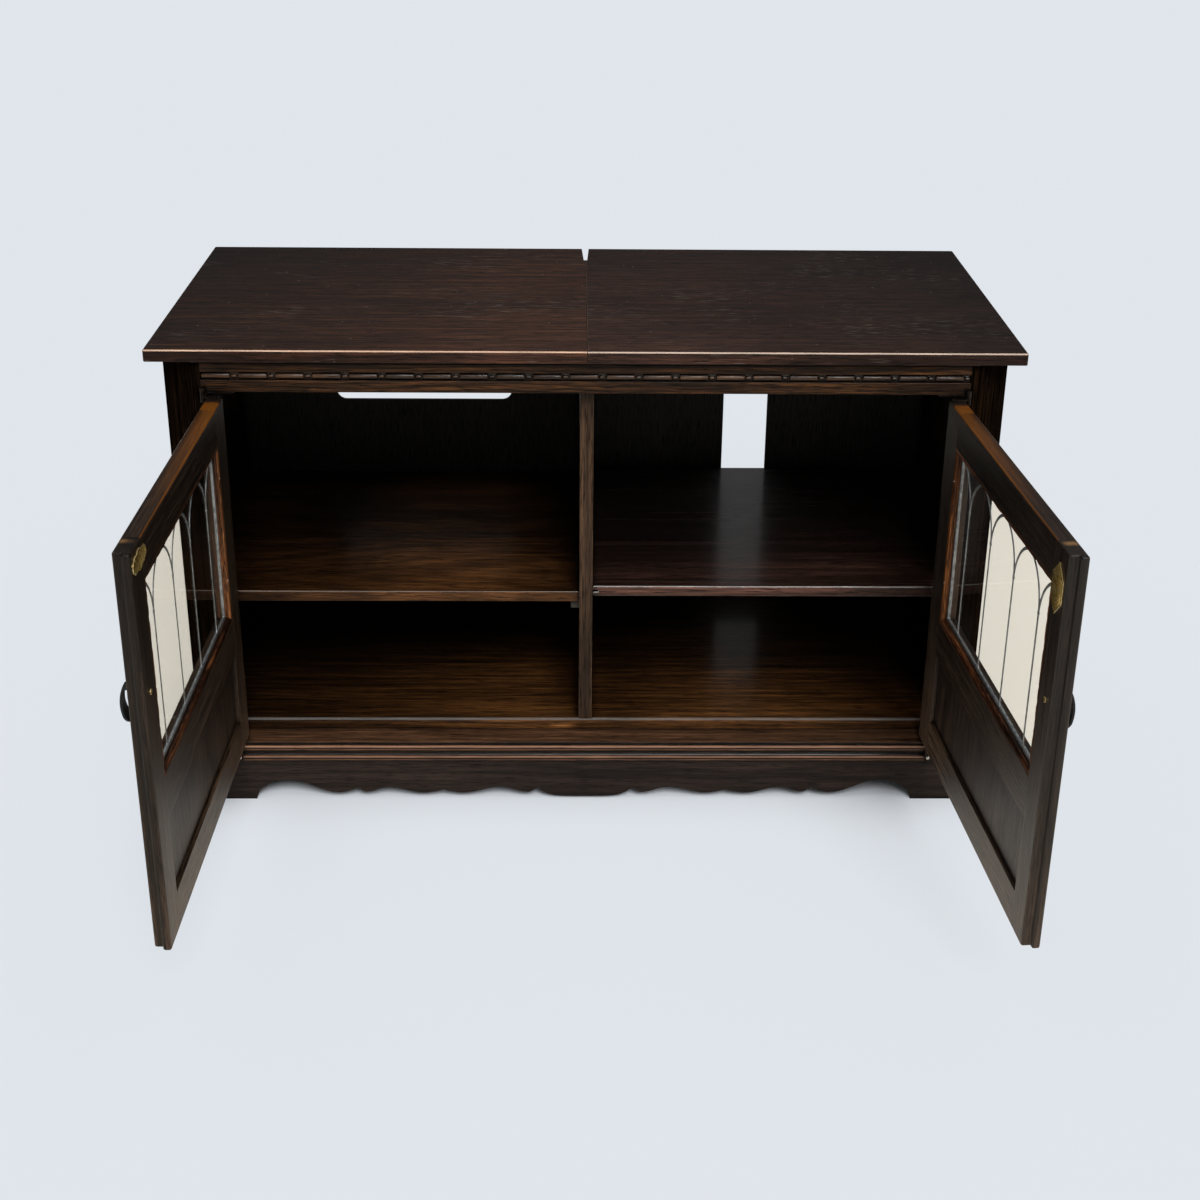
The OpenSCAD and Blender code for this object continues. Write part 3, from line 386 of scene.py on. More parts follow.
def ease(width, *names, steps=2):
    """Rounds the sharp arrises of CAD nodes by width in metres."""
    for name in names:
        weld = nodes[name].modifiers.new("weld", "WELD")
        weld.merge_threshold = WELD
        bevel = nodes[name].modifiers.new("arris", "BEVEL")
        bevel.width = width
        bevel.segments = steps
        bevel.limit_method = "ANGLE"
        bevel.angle_limit = math.radians(40)


def piece(name, bm, material, body, *replaced):
    """Turns a bmesh, already in place, into a piece that rides on a body."""
    bmesh.ops.remove_doubles(bm, verts=bm.verts, dist=0.000001)
    bmesh.ops.recalc_face_normals(bm, faces=bm.faces)
    mesh = bpy.data.meshes.new(name)
    bm.to_mesh(mesh)
    bm.free()
    mesh.shade_smooth()
    mesh.set_sharp_from_angle(angle=math.radians(35))
    mesh.materials.append(material)
    made = bpy.data.objects.new(name, mesh)
    scene.collection.objects.link(made)
    if replaced:
        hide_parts(*replaced)
    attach(made, body)
    return made


def block(bm, low, high):
    """A block between two opposite corners."""
    low, high = Vector(low), Vector(high)
    place = Matrix.Translation((low + high) / 2) @ Matrix.Diagonal((*(high - low), 1))
    return bmesh.ops.create_cube(bm, size=1, matrix=place)["verts"]


def draw_out(bm, faces, way):
    """Draws faces out along way and gives the new corners."""
    pulled = bmesh.ops.extrude_face_region(bm, geom=faces)
    moved = [v for v in pulled["geom"] if isinstance(v, bmesh.types.BMVert)]
    bmesh.ops.translate(bm, verts=moved, vec=way)
    return moved


def tablet(bm, x, y, z, length, radius):
    """A round tablet along X from x, with rounded ends."""
    ring = bmesh.ops.create_circle(
        bm, segments=16, radius=radius, cap_ends=True,
        matrix=Matrix.Translation((x, y, z)) @ Matrix.Rotation(math.pi / 2, 4, "Y"))
    faces = list({f for v in ring["verts"] for f in v.link_faces})
    moved = draw_out(bm, faces, (length, 0, 0))
    edges = {e for v in ring["verts"] + moved for e in v.link_edges}
    ends = [e for e in edges if abs(e.verts[0].co.x - e.verts[1].co.x) < HAIR]
    bmesh.ops.bevel(
        bm, geom=ends, offset=radius * 0.4, segments=3, profile=0.5, affect="EDGES", material=-1)


rail_oak = stained_oak(
    "dark_oak_rail", "150D08", "322013", "66401F", shift=1.3, streaks=5, lines=1.2, pitch=9,
    bend=12, figure=0.45, wear=0.5, corner_shade=0.9)
lip_oak = stained_oak(
    "grey_brown_oak_lip", "1A130E", "2C2119", "42311F", shift=2.2, rough=0.45, wear=0.7, corner_shade=0.7)
dress(rail_oak, "frieze_rail")
dress(lip_oak, "sub_top")
ease(0.0007, "frieze_rail", "sub_top")

REPEATS = 21
TABLET, TABLET_R = 0.035, 0.0035
LINK, LINK_R = 0.0066, 0.0023
FIRST, SPACE = 0.001, 0.0013
LINK_BEHIND, LINK_BELOW = 0.0004, 0.0006
BACKING = 0.0012
low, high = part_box("billet_moulding")
pitch_x = (high.x - low.x) / REPEATS
mid_z = (low.z + high.z) / 2
bm = bmesh.new()
for i in range(REPEATS):
    start = low.x + i * pitch_x + FIRST
    tablet(bm, start, low.y + TABLET_R, mid_z, TABLET, TABLET_R)
    tablet(
        bm, start + TABLET + SPACE, low.y + TABLET_R + LINK_BEHIND, mid_z - LINK_BELOW, LINK,
        LINK_R)
block(bm, (low.x, high.y - BACKING, low.z), high)
# the worn colour and high wear paint the tablets' edges pale, as wear and a painted highlight
carved_oak = stained_oak(
    "carved_dark_oak", "140C07", "3A2617", "64452C", rough=0.3, shine=0.3, worn="94745A", wear=0.9,
    shift=4.4, corner_shade=0.98)
piece("billet_strip", bm, carved_oak, "cabinet", "billet_moulding")


# Corner posts and end panels
# Solid posts with the corner cut away at 45 degrees and reeded by upright grooves.
# The panels behind them are veneered, with upright grain.

UPRIGHT = (0, math.pi / 2, 0)
post_oak = stained_oak(
    "dark_oak_post", "080503", "120C08", "2A1A0D", turn=UPRIGHT, shift=0.7, streaks=6, lines=1.5,
    shine=0.0, rough=0.65, worn="46301A", wear=0.6, corner_shade=0.98)
veneer_oak = stained_oak(
    "dark_oak_end_panel", "150E0B", "26180F", "382318", turn=UPRIGHT, shift=5.9, pitch=24, bend=12,
    figure=0.4, worn="5E4838", wear=0.4)
dress(post_oak, "corner_post_left", "corner_post_right")
dress(veneer_oak, "end_panel_left", "end_panel_right")


# Divider, bottom board and back
# The divider's front edge is rubbed brown by use, and the bottom board's rounded
# edge carries a painted grey highlight. The back is thin dark board, nearly black inside.

board_low, board_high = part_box("bottom_board")
board_edge, board_top = board_low.y, board_high.z


def board_nosing_highlight(tree, x, y, z):
    """Painted highlight: the rounded nosing of the bottom board, painted grey."""
    front = between(tree, y, board_edge - BEYOND, board_edge + 0.003, 0.0008)
    upper = between(tree, z, board_top - 0.0024, board_top + BEYOND, 0.0005)
    both = add(tree, "ShaderNodeMath", {0: front, 1: upper}, operation="MULTIPLY")
    return add(tree, "ShaderNodeMath", {0: both, 1: 0.55}, operation="MULTIPLY")


def board_painted_light_and_wear(tree, x, y, z):
    """Painted light and shade: the bottom board is painted brown in front of the divider
    and in the right bay, where light falls, and dark at its left end and behind, in
    shade. Its front face is paler, and has one bare patch of wear left of the divider."""
    place = add(tree, "ShaderNodeMapRange", {"Value": x, "From Min": -0.45, "From Max": 0.45})
    along = add(tree, "ShaderNodeValToRGB", {0: place}, [
        (0.0, grey(0.12)), (0.12, grey(0.17)), (0.28, grey(0.4)), (0.42, grey(0.8)),
        (0.55, grey(0.5)), (0.62, grey(0.8)), (0.8, grey(0.95)), (0.9, grey(0.6)),
        (1.0, grey(0.35))])
    reach = add(tree, "ShaderNodeMapRange", {
        "Value": x, "From Min": -0.01, "From Max": 0.01, "To Min": board_edge + 0.26,
        "To Max": board_edge + 0.15})
    deep = add(tree, "ShaderNodeMapRange", {
        "Value": y, "From Min": board_edge + 0.04, "From Max": reach, "To Min": 2.0, "To Max": 0.5})
    face = add(tree, "ShaderNodeMapRange", {
        "Value": z, "From Min": board_top - 0.005, "From Max": board_top - 0.002, "To Min": 1.8,
        "To Max": 1.0})
    edge = between(tree, y, board_edge - BEYOND, board_edge + 0.0012, 0.0006)
    low_down = between(tree, z, board_top - 0.013, board_top - 0.007, 0.0018)
    bare = between(tree, x, -0.042, -0.018, 0.008)
    spot = add(tree, "ShaderNodeMath", {0: edge, 1: low_down}, operation="MULTIPLY")
    spot = add(tree, "ShaderNodeMath", {0: spot, 1: bare}, operation="MULTIPLY")
    patch = add(tree, "ShaderNodeMath", {0: spot, 1: 6.0, 2: face}, operation="MULTIPLY_ADD")
    both = add(tree, "ShaderNodeMath", {0: along, 1: deep}, operation="MULTIPLY")
    return add(tree, "ShaderNodeMath", {0: both, 1: patch}, operation="MULTIPLY")


divider_oak = stained_oak(
    "dark_oak_divider", "20160F", "3A2A1E", "58412E", turn=UPRIGHT, shift=1.9, worn="8C6E54",
    wear=0.7, corner_shade=0.6)
# worn is the grey of the nosing's painted highlight and of the little edge wear
bottom_oak = stained_oak(
    "brown_oak_bottom", "1A0F08", "3C2511", "64401E", shift=2.9, streaks=8, lines=1.5, pitch=14,
    bend=7, figure=0.22, blotch=0.35, coat=0.5, worn="8E8A86", wear=0.1, corner_shade=0.7,
    arris=board_nosing_highlight, shade=board_painted_light_and_wear)
back_board = stained_oak(
    "dark_back_board", "363230", "3B3734", "403B37", turn=UPRIGHT, shift=0.2, lines=1.2,
    figure=0.05, blotch=0.1, rough=0.6, worn="3A2A20", wear=0.2, tooth=0.0002)
dress(divider_oak, "divider")
dress(bottom_oak, "bottom_board")
dress(back_board, "back_panel")
dress(rail_oak, "back_rail")
ease(0.0012, "divider")
ease(0.0035, "bottom_board", steps=4)


# Shelves and their supports
# Oak-faced boards, strongly figured and brown on the left, darker and glossier on
# the right. Steel studs carry the left one, bent wires in saw kerfs the right one.

shelf_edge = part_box("shelf_left")[0].y


def shelf_arris_highlight(tree, x, y, z):
    """Painted highlight: the upper front arris of a shelf, painted pale."""
    return between(tree, y, shelf_edge + 0.0006, shelf_edge + 0.0018, 0.0003)


def shelf_face_painted_light(tree, x, y, dark_end, bright_end, tone):
    """Painted light and shade: how much paler a shelf's front face is painted, up to tone, from its
    dark outer end on.
    """
    face = between(tree, y, shelf_edge - BEYOND, shelf_edge + 0.0004, 0.0002)
    lit = add(tree, "ShaderNodeMapRange", {
        "Value": x, "From Min": dark_end, "From Max": bright_end, "To Max": tone})
    return add(tree, "ShaderNodeMath", {0: face, 1: lit}, operation="MULTIPLY")


def left_shelf_painted_light(tree, x, y, z):
    """Painted light and shade: the left shelf is painted brown in front of its middle, where light
    falls, and dark at its ends and behind, in shade.
    """
    middle = between(tree, x, -0.28, -0.07, 0.05)
    along = add(tree, "ShaderNodeMath", {0: middle, 1: 1.2, 2: 0.55}, operation="MULTIPLY_ADD")
    deep = add(tree, "ShaderNodeMapRange", {
        "Value": y, "From Min": shelf_edge + 0.08, "From Max": shelf_edge + 0.19, "To Min": 1.3,
        "To Max": 0.5})
    face = shelf_face_painted_light(tree, x, y, -0.4, -0.24, 2.5)
    return add(tree, "ShaderNodeMath", {0: along, 1: deep, 2: face}, operation="MULTIPLY_ADD")


def right_shelf_painted_light(tree, x, y, z):
    """Painted light and shade: the right shelf is painted red-brown along its front, where light
    falls, and nearly black behind, in shade.
    """
    deep = add(tree, "ShaderNodeMapRange", {
        "Value": y, "From Min": shelf_edge + 0.03, "From Max": shelf_edge + 0.15, "To Min": 2.3,
        "To Max": 0.5})
    face = shelf_face_painted_light(tree, x, y, 0.42, 0.14, 4.6)
    return add(tree, "ShaderNodeMath", {0: deep, 1: face}, operation="ADD")


# worn is the pale colour of each shelf's painted arris highlight and of its edge wear
left_shelf_oak = stained_oak(
    "figured_oak_shelf", "180E08", "35200F", "563518", shift=6.3, streaks=60, lines=1.8, pitch=46,
    bend=9, figure=0.3, blotch=0.5, rough=0.36, coat=0.12, worn="9C8C80", wear=0.5,
    arris=shelf_arris_highlight, shade=left_shelf_painted_light)
right_shelf_oak = stained_oak(
    "glossy_dark_oak_shelf", "0F0806", "1E120D", "34201A", shift=7.7, streaks=20, lines=1.6,
    pitch=14, bend=5, figure=0.2, rough=0.24, shine=0.6, coat=1.0, worn="D0C8C2", wear=0.7,
    arris=shelf_arris_highlight, shade=right_shelf_painted_light, tooth=0.0012)
dress(left_shelf_oak, "shelf_left")
dress(right_shelf_oak, "shelf_right")
ease(0.0014, "shelf_left", "shelf_right")


def metal(name, colour, other, rough, spread=11.0, grit=0.7, weight=1.0, rubbed=None):
    """Metal with cloudy tarnish spread mm wide, a fine tooth grit mm wide and edges
    that are painted a brighter colour, as rubbed metal and a painted highlight."""
    material, tree, out = fresh(name)
    place = add(tree, "ShaderNodeTexCoord").outputs["Object"]
    cloud = add(tree, "ShaderNodeTexNoise", {
        "Vector": place, "Scale": 1000 / spread, "Detail": 5.0, "Roughness": 0.65})
    tooth = add(tree, "ShaderNodeTexNoise", {"Vector": place, "Scale": 1000 / grit, "Detail": 2.0})
    tint = add(tree, "ShaderNodeValToRGB", {0: cloud.outputs["Fac"]}, [
        (0.36, linear(other)), (0.6, linear(colour))])
    gloss = add(tree, "ShaderNodeMapRange", {
        "Value": cloud.outputs["Fac"], "From Min": 0.3, "From Max": 0.7, "To Min": rough + 0.12,
        "To Max": rough - 0.05})
    soft = add(tree, "ShaderNodeBevel", {"Radius": 0.0006}, samples=4)
    if rubbed:
        edge = sharp_edges(tree, soft, 0.995, 0.9)
        tint = add(tree, "ShaderNodeMix", {0: edge, 6: tint, 7: linear(rubbed)}, data_type="RGBA")
    bump = add(tree, "ShaderNodeBump", {
        "Height": tooth.outputs["Fac"], "Normal": soft, "Strength": 0.25, "Distance": 0.0002})
    shader = add(tree, "ShaderNodeBsdfPrincipled", {
        "Base Color": tint, "Roughness": gloss, "Normal": bump, "Metallic": weight})
    tree.links.new(shader.outputs[0], out.inputs["Surface"])
    return material


steel = metal("dull_zinc_plated_steel", "4A4844", "35322F", 0.5)
dress(steel, "shelf_studs", "shelf_wires", "leaf_screws", "back_screws")


# Base moulding and plinth
# A flat ledge, a lip and two reeds with a quirk between them, mitred round the
# corners. The crests are rubbed paler and carry a painted highlight, and the lip's
# face and the hollows carry painted shade. The plinth is sawn to scallops along its
# lower edge.

ALONG_Y = (0, 0, math.pi / 2)

# each crest's depth under the ledge, half its width and how far it is rubbed and
# highlit, and the upper and lower depth of each hollow painted as shade
CRESTS = (
    (0.0075, 0.0012, 0.85), (0.0142, 0.0004, 0.45), (0.0240, 0.0012, 0.75), (0.0315, 0.0004, 0.3))
HOLLOWS = ((0.0002, 0.0052), (0.0100, 0.0130), (0.0154, 0.0215), (0.0266, 0.0304))
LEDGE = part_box("base_moulding_front")[1].z


def reed_crests_worn_and_highlit(tree, x, y, z):
    """The crests of the lip and the reeds, rubbed paler and painted with a highlight."""
    crests = 0.0
    for drop, half, share in CRESTS:
        ridge = between(tree, z, LEDGE - drop - half, LEDGE - drop + half, 0.0004)
        ridge = add(tree, "ShaderNodeMath", {0: ridge, 1: share}, operation="MULTIPLY")
        crests = add(tree, "ShaderNodeMath", {0: crests, 1: ridge}, operation="MAXIMUM")
    return crests


def reed_painted_shade(tree, x, y, z):
    """Painted shade: the lip's face and the hollows between the reeds are painted nearly black."""
    hollows = 0.0
    for top, bottom in HOLLOWS:
        pit = between(tree, z, LEDGE - bottom, LEDGE - top, 0.0004)
        hollows = add(tree, "ShaderNodeMath", {0: hollows, 1: pit}, operation="MAXIMUM")
    return add(tree, "ShaderNodeMath", {0: hollows, 1: -0.86, 2: 1.0}, operation="MULTIPLY_ADD")


reeded = partial(
    stained_oak, dark="2A1C12", mid="5A3E2A", light="865F44", streaks=6, lines=1.4, pitch=9, bend=6,
    worn="A87C64", wear=0.25, corner_shade=0.8, arris=reed_crests_worn_and_highlit, shade=reed_painted_shade)
sawn = partial(
    stained_oak, dark="18120F", mid="281E19", light="342823", pitch=13, bend=7, worn="6E584A",
    wear=0.4)
moulding_oak = reeded("dark_oak_moulding", shift=8.2, coat=0.1)
side_moulding_oak = reeded("dark_oak_side_moulding", turn=ALONG_Y, shift=8.9)
plinth_oak = sawn("dark_oak_plinth", shift=9.4)
side_plinth_oak = sawn("dark_oak_side_plinth", turn=ALONG_Y, shift=9.9)
dress(moulding_oak, "base_moulding_front")
dress(side_moulding_oak, "base_moulding_left", "base_moulding_right")
dress(plinth_oak, "plinth_front", "plinth_back")
dress(side_plinth_oak, "plinth_left", "plinth_right")
ease(0.0022, "plinth_front", "plinth_left", "plinth_right", "plinth_back", steps=3)


# Door frames and panels
# Each door has two upright stiles, three rails between them and a panel held in
# grooves. The boards' outer arrises are rounded, and the top edge of each top rail,
# which the light reaches when the door is open, is golden brown near the hinge.

PIN_X, PIN_Y = 0.469, FRONT + 0.006
LEFT_OPEN, RIGHT_OPEN = math.radians(91), math.radians(94)
SIDES = ("left", "right")
hang = {
    "left": Matrix.Translation((-PIN_X, PIN_Y, 0)) @ Matrix.Rotation(-LEFT_OPEN, 4, "Z"),
    "right": (Matrix.Translation((PIN_X, PIN_Y, 0)) @ Matrix.Rotation(RIGHT_OPEN, 4, "Z")
              @ Matrix.Diagonal((-1, 1, 1, 1))),
}
rail_turn = {"left": (0, 0, LEFT_OPEN), "right": (0, 0, math.pi - RIGHT_OPEN)}
door_low, door_high = (corner.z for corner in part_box("meeting_stile_left"))
U_HINGE, U_MEET = -0.0005, 0.4655
DOOR_ROUND = 0.0028


def eased_copy(node, body, stand, width, chosen, material, steps=3):
    """A copy of a CAD board with its chosen edges rounded. stand carries the board's
    own frame to the part's, and chosen takes an edge's middle and direction there."""
    bm = bmesh.new()
    bm.from_mesh(nodes[node].data)
    bm.transform(stand.inverted())
    bmesh.ops.remove_doubles(bm, verts=bm.verts, dist=WELD)
    bmesh.ops.dissolve_limit(bm, angle_limit=math.radians(1), verts=bm.verts, edges=bm.edges)
    picked = []
    for edge in bm.edges:
        first, last = (v.co for v in edge.verts)
        sharp = len(edge.link_faces) == 2 and edge.calc_face_angle() > math.radians(45)
        if sharp and chosen((first + last) / 2, (last - first).normalized()):
            picked.append(edge)
    bmesh.ops.bevel(
        bm, geom=picked, offset=width, segments=steps, profile=0.5, affect="EDGES", material=-1)
    bm.transform(stand)
    made = piece("eased_" + node, bm, material, body, node)
    made.modifiers.new("even_shading", "WEIGHTED_NORMAL").keep_sharp = True
    return made


def outer_arris(middle, way):
    """The edges round the outside of a closed door: ends, hinge edge and meeting edge."""
    at_end = middle.z > door_high - HAIR or middle.z < door_low + HAIR
    at_side = middle.x > U_MEET - HAIR or middle.x < U_HINGE + HAIR
    if abs(way.z) > 0.9:
        return at_side
    return at_end and (abs(way.x) > 0.9 or at_side)


def beside_pin(side, tree, x, y):
    """How far a point lies from a door's pin, along the door and through it towards
    its inner face."""
    found = []
    for row in hang[side].inverted()[:2]:
        part = add(tree, "ShaderNodeMath", {0: x, 1: row[0], 2: row[3]}, operation="MULTIPLY_ADD")
        part = add(tree, "ShaderNodeMath", {0: y, 1: row[1], 2: part}, operation="MULTIPLY_ADD")
        found.append(part)
    return found


def door_top(tree, z):
    """The top edge of a door."""
    return between(tree, z, door_high - 0.0015, door_high + BEYOND, 0.0005)


def rail_top_gold_and_highlight(side, tree, x, y, z):
    """The golden top edge of a top rail, which fades towards the free end and the
    outside, and its inner arris, painted with a highlight."""
    along, behind = beside_pin(side, tree, x, y)
    near = add(tree, "ShaderNodeMapRange", {
        "Value": along, "From Min": 0.36, "From Max": 0.10, "To Min": 0.05, "To Max": 0.75})
    inner = add(tree, "ShaderNodeMapRange", {
        "Value": behind, "From Min": 0.007, "From Max": 0.015, "To Min": 0.25, "To Max": 1.0})
    gold = add(tree, "ShaderNodeMath", {0: near, 1: inner}, operation="MULTIPLY")
    arris = between(tree, behind, 0.0222, 0.025, 0.0004)
    both = add(tree, "ShaderNodeMath", {
        0: arris, 1: 0.7, 2: gold}, operation="MULTIPLY_ADD", use_clamp=True)
    return add(tree, "ShaderNodeMath", {0: door_top(tree, z), 1: both}, operation="MULTIPLY")


def hinge_stile_top(side, tree, x, y, z):
    """The golden top of a hinge stile, dark again close to the pin."""
    along = beside_pin(side, tree, x, y)[0]
    gold = between(tree, along, 0.020, 0.06, 0.004)
    return add(tree, "ShaderNodeMath", {0: door_top(tree, z), 1: gold}, operation="MULTIPLY")


def meeting_stile_top(side, tree, x, y, z):
    """The bare spot rubbed on a meeting stile's top."""
    along, behind = beside_pin(side, tree, x, y)
    spot = between(tree, along, 0.433, 0.441, 0.003)
    inner = between(tree, behind, 0.006, 0.02, 0.003)
    both = add(tree, "ShaderNodeMath", {0: spot, 1: inner}, operation="MULTIPLY")
    return add(tree, "ShaderNodeMath", {0: door_top(tree, z), 1: both}, operation="MULTIPLY")


def door_painted_light(side, tree, x, y, z):
    """Painted light and shade: a door is painted paler towards its bottom, where the floor throws
    light on it, and darker towards its top, and darker still on its top edge and its meeting edge.
    """
    along = beside_pin(side, tree, x, y)[0]
    height = add(tree, "ShaderNodeMapRange", {"Value": z, "From Min": door_low, "From Max": 0.5})
    tone = add(tree, "ShaderNodeValToRGB", {0: height}, [
        (0.0, grey(0.95)), (0.3, grey(0.42)), (1.0, grey(0.19))])
    tone = add(tree, "ShaderNodeMath", {0: tone, 1: 3.0}, operation="MULTIPLY")
    for value, start, share in ((along, U_MEET - 0.001, 0.55), (z, door_high - 0.001, 0.75)):
        edge = add(tree, "ShaderNodeMapRange", {
            "Value": value, "From Min": start, "From Max": start + 0.0008, "To Min": 1.0,
            "To Max": share})
        tone = add(tree, "ShaderNodeMath", {0: tone, 1: edge}, operation="MULTIPLY")
    return tone


for side in SIDES:
    body = side + "_door"
    own = 0.9 * (side == "left")
    polish = 0.2 if side == "left" else 0.32
    door_oak = partial(stained_oak, shine=polish, shade=partial(door_painted_light, side))
    stile = partial(
        door_oak, dark="1C150F", mid="32261C", light="4C3A2C", turn=UPRIGHT, streaks=8, lines=1.5,
        pitch=10, rough=0.44)
    hinge_stile_oak = stile(
        "dark_oak_hinge_stile_" + side, shift=3.3 + own, worn="74420C", wear=0.5,
        arris=partial(hinge_stile_top, side))
    meeting_stile_oak = stile(
        "dark_oak_meeting_stile_" + side, shift=4.1 + own, worn="8E6A42", wear=0.4,
        arris=partial(meeting_stile_top, side))
    door_rail_oak = door_oak(
        "dark_oak_door_rail_" + side, "17100A", "30241A", "4E3C2C", turn=rail_turn[side],
        shift=5.1 + own, streaks=5, lines=1.3, pitch=6, bend=7, figure=0.4, rough=0.44,
        worn="74420C", wear=0.5, arris=partial(rail_top_gold_and_highlight, side))
    field_oak = door_oak(
        "dark_oak_door_panel_" + side, "150E09", "251A12", "382A1E", turn=UPRIGHT, shift=2.4 + own,
        pitch=26, bend=10, figure=0.35, rough=0.46, worn="5A4434", wear=0.4)
    framing = {"hinge_stile_": hinge_stile_oak, "meeting_stile_": meeting_stile_oak,
               "door_top_rail_": door_rail_oak, "door_bottom_rail_": door_rail_oak}
    for node, oak in framing.items():
        eased = eased_copy(node + side, body, hang[side], DOOR_ROUND, outer_arris, oak)
    dress(door_rail_oak, "door_mid_rail_" + side)
    dress(field_oak, "door_panel_" + side)


# Leaded lights
# Clear glass in grey lead. The cames are drawn lead bars, rounded on both faces and
# soldered where they meet: an edge channel, four uprights and pointed arches. Four
# mitred beads, worn to bare orange-brown wood, hold each light from the inside.

def clear_glass(name):
    """Thin window glass that lets lamps through, with faint smears from wiping."""
    material, tree, out = fresh(name)
    place = add(tree, "ShaderNodeTexCoord")
    smear = add(tree, "ShaderNodeMapping", {
        "Vector": place.outputs["Object"], "Rotation": (0.7, 0.2, 0.3), "Scale": (6, 40, 40)})
    haze = add(tree, "ShaderNodeTexNoise", {"Vector": smear, "Scale": 1.0, "Detail": 3.0})
    dull = add(tree, "ShaderNodeMapRange", {
        "Value": haze.outputs["Fac"], "From Min": 0.3, "From Max": 0.8, "To Min": 0.0,
        "To Max": 0.02})
    pane = add(tree, "ShaderNodeBsdfPrincipled", {
        "Base Color": linear("FDFDFA"), "Roughness": dull, "Transmission Weight": 1.0, "IOR": 1.18})
    clear = add(tree, "ShaderNodeBsdfTransparent", {"Color": linear("F4F6F3")})
    ray = add(tree, "ShaderNodeLightPath")
    mixed = add(tree, "ShaderNodeMixShader", {0: ray.outputs["Is Shadow Ray"], 1: pane, 2: clear})
    tree.links.new(mixed.outputs[0], out.inputs["Surface"])
    return material


# the opening, and the depths of the lead and the beads, in a closed door's own frame
U0, U1 = 0.0475, 0.4265
Z0, Z1 = 0.292, 0.528
MIDDLE = (U0 + U1) / 2
LIP_V, CAME_V, BEAD_V = 0.012, 0.0174, 0.024
MID_V = (LIP_V + CAME_V) / 2
SIGHT = 0.007
GAP, EDGE, LAP = 0.0005, 0.011, 0.001
LEADS = 4
LEAD_PITCH = (U1 - U0) / (LEADS + 0.15)
ARCH_R = 0.625 * LEAD_PITCH
SPRING = Z1 - 0.066
ARCH_RISE = math.sqrt(ARCH_R ** 2 - (ARCH_R - LEAD_PITCH / 2) ** 2)
OVAL = Matrix.Diagonal((0.002, 0.0015, 1, 1))
SOLDER_DEPTH = 0.0021
EDGE_ROUND = 0.0009
BEAD_ROUND, CHIP = 0.0042, 0.0016
CHIP_EVERY = 0.004
BRAD_R, BRAD_PROUD = 0.0013, 0.0004


def came_section(bm, u, z):
    """The oval section of a came, as a capped ring."""
    ring = bmesh.ops.create_circle(
        bm, segments=14, radius=1, cap_ends=True, matrix=Matrix.Translation((u, MID_V, z)) @ OVAL)
    return list({f for v in ring["verts"] for f in v.link_faces})


def upright_came(bm, u, z0, z1):
    """An upright came from z0 to z1."""
    draw_out(bm, came_section(bm, u, z0), (0, 0, z1 - z0))


def arched_came(bm, u, way):
    """Half of a pointed arch that leaves the upright at u and leans towards way."""
    reach = math.acos((ARCH_R - LEAD_PITCH / 2) / ARCH_R)
    bmesh.ops.spin(
        bm, geom=came_section(bm, u, SPRING), cent=(u + way * ARCH_R, MID_V, SPRING),
        axis=(0, way, 0), dvec=(0, 0, 0), angle=reach, steps=14, use_duplicate=False)


def solder(bm, u, z, size):
    """A flattened blob of solder over a joint, on both faces."""
    bmesh.ops.create_icosphere(
        bm, subdivisions=2, radius=size,
        matrix=Matrix.Translation((u, MID_V, z)) @ Matrix.Diagonal((1, SOLDER_DEPTH / size, 1, 1)))


def edge_came(bm, u0, u1, z0, z1):
    """A flat came at the edge of a light, with its arrises eased."""
    corners = block(bm, (u0, LIP_V, z0), (u1, CAME_V, z1))
    edges = list({e for v in corners for e in v.link_edges})
    bmesh.ops.bevel(
        bm, geom=edges, offset=EDGE_ROUND, segments=2, profile=0.5, affect="EDGES", material=-1)


def mitred_bead(bm, start, end, inward):
    """Adds one bead between two corners of the opening, mitred at both ends. Its inner
    arris is rounded, and chips and hollows are worn into it."""
    length = (end - start).length
    half = (BEAD_V - CAME_V) / 2
    bead = bmesh.new()
    block(bead, (0, -half, 0), (length, half, SIGHT))
    for v in bead.verts:
        if v.co.z > SIGHT / 2:
            v.co.x += SIGHT if v.co.x < length / 2 else -SIGHT

    def lengthwise():
        """The edges that run from mitre to mitre."""
        return [e for e in bead.edges if abs(e.verts[0].co.x - e.verts[1].co.x) > length / 2]

    inner = [e for e in lengthwise() if e.verts[0].co.y > 0 and e.verts[0].co.z > SIGHT / 2]
    bmesh.ops.bevel(
        bead, geom=inner, offset=BEAD_ROUND, segments=5, profile=0.5, affect="EDGES", material=-1)
    bmesh.ops.subdivide_edges(
        bead, edges=lengthwise(), cuts=int(length / CHIP_EVERY), use_grid_fill=True)
    for v in bead.verts:
        if v.co.z > 0.001 and v.co.y > -0.002:
            spot = Vector((v.co.x * 90 + start.x * 900, v.co.z * 300, start.z * 50))
            worn = max(0.0, noise.noise(spot)) * CHIP
            v.co.z -= worn
            v.co.y -= worn * 0.8
    across_bead = Vector((0, 1, 0))
    laid = Matrix(((end - start).normalized(), across_bead, inward)).transposed().to_4x4()
    bead.transform(Matrix.Translation(start + across_bead * (BEAD_V + CAME_V) / 2) @ laid)
    mesh = bpy.data.meshes.new("bead")
    bead.to_mesh(mesh)
    bead.free()
    bm.from_mesh(mesh)
    bpy.data.meshes.remove(mesh)
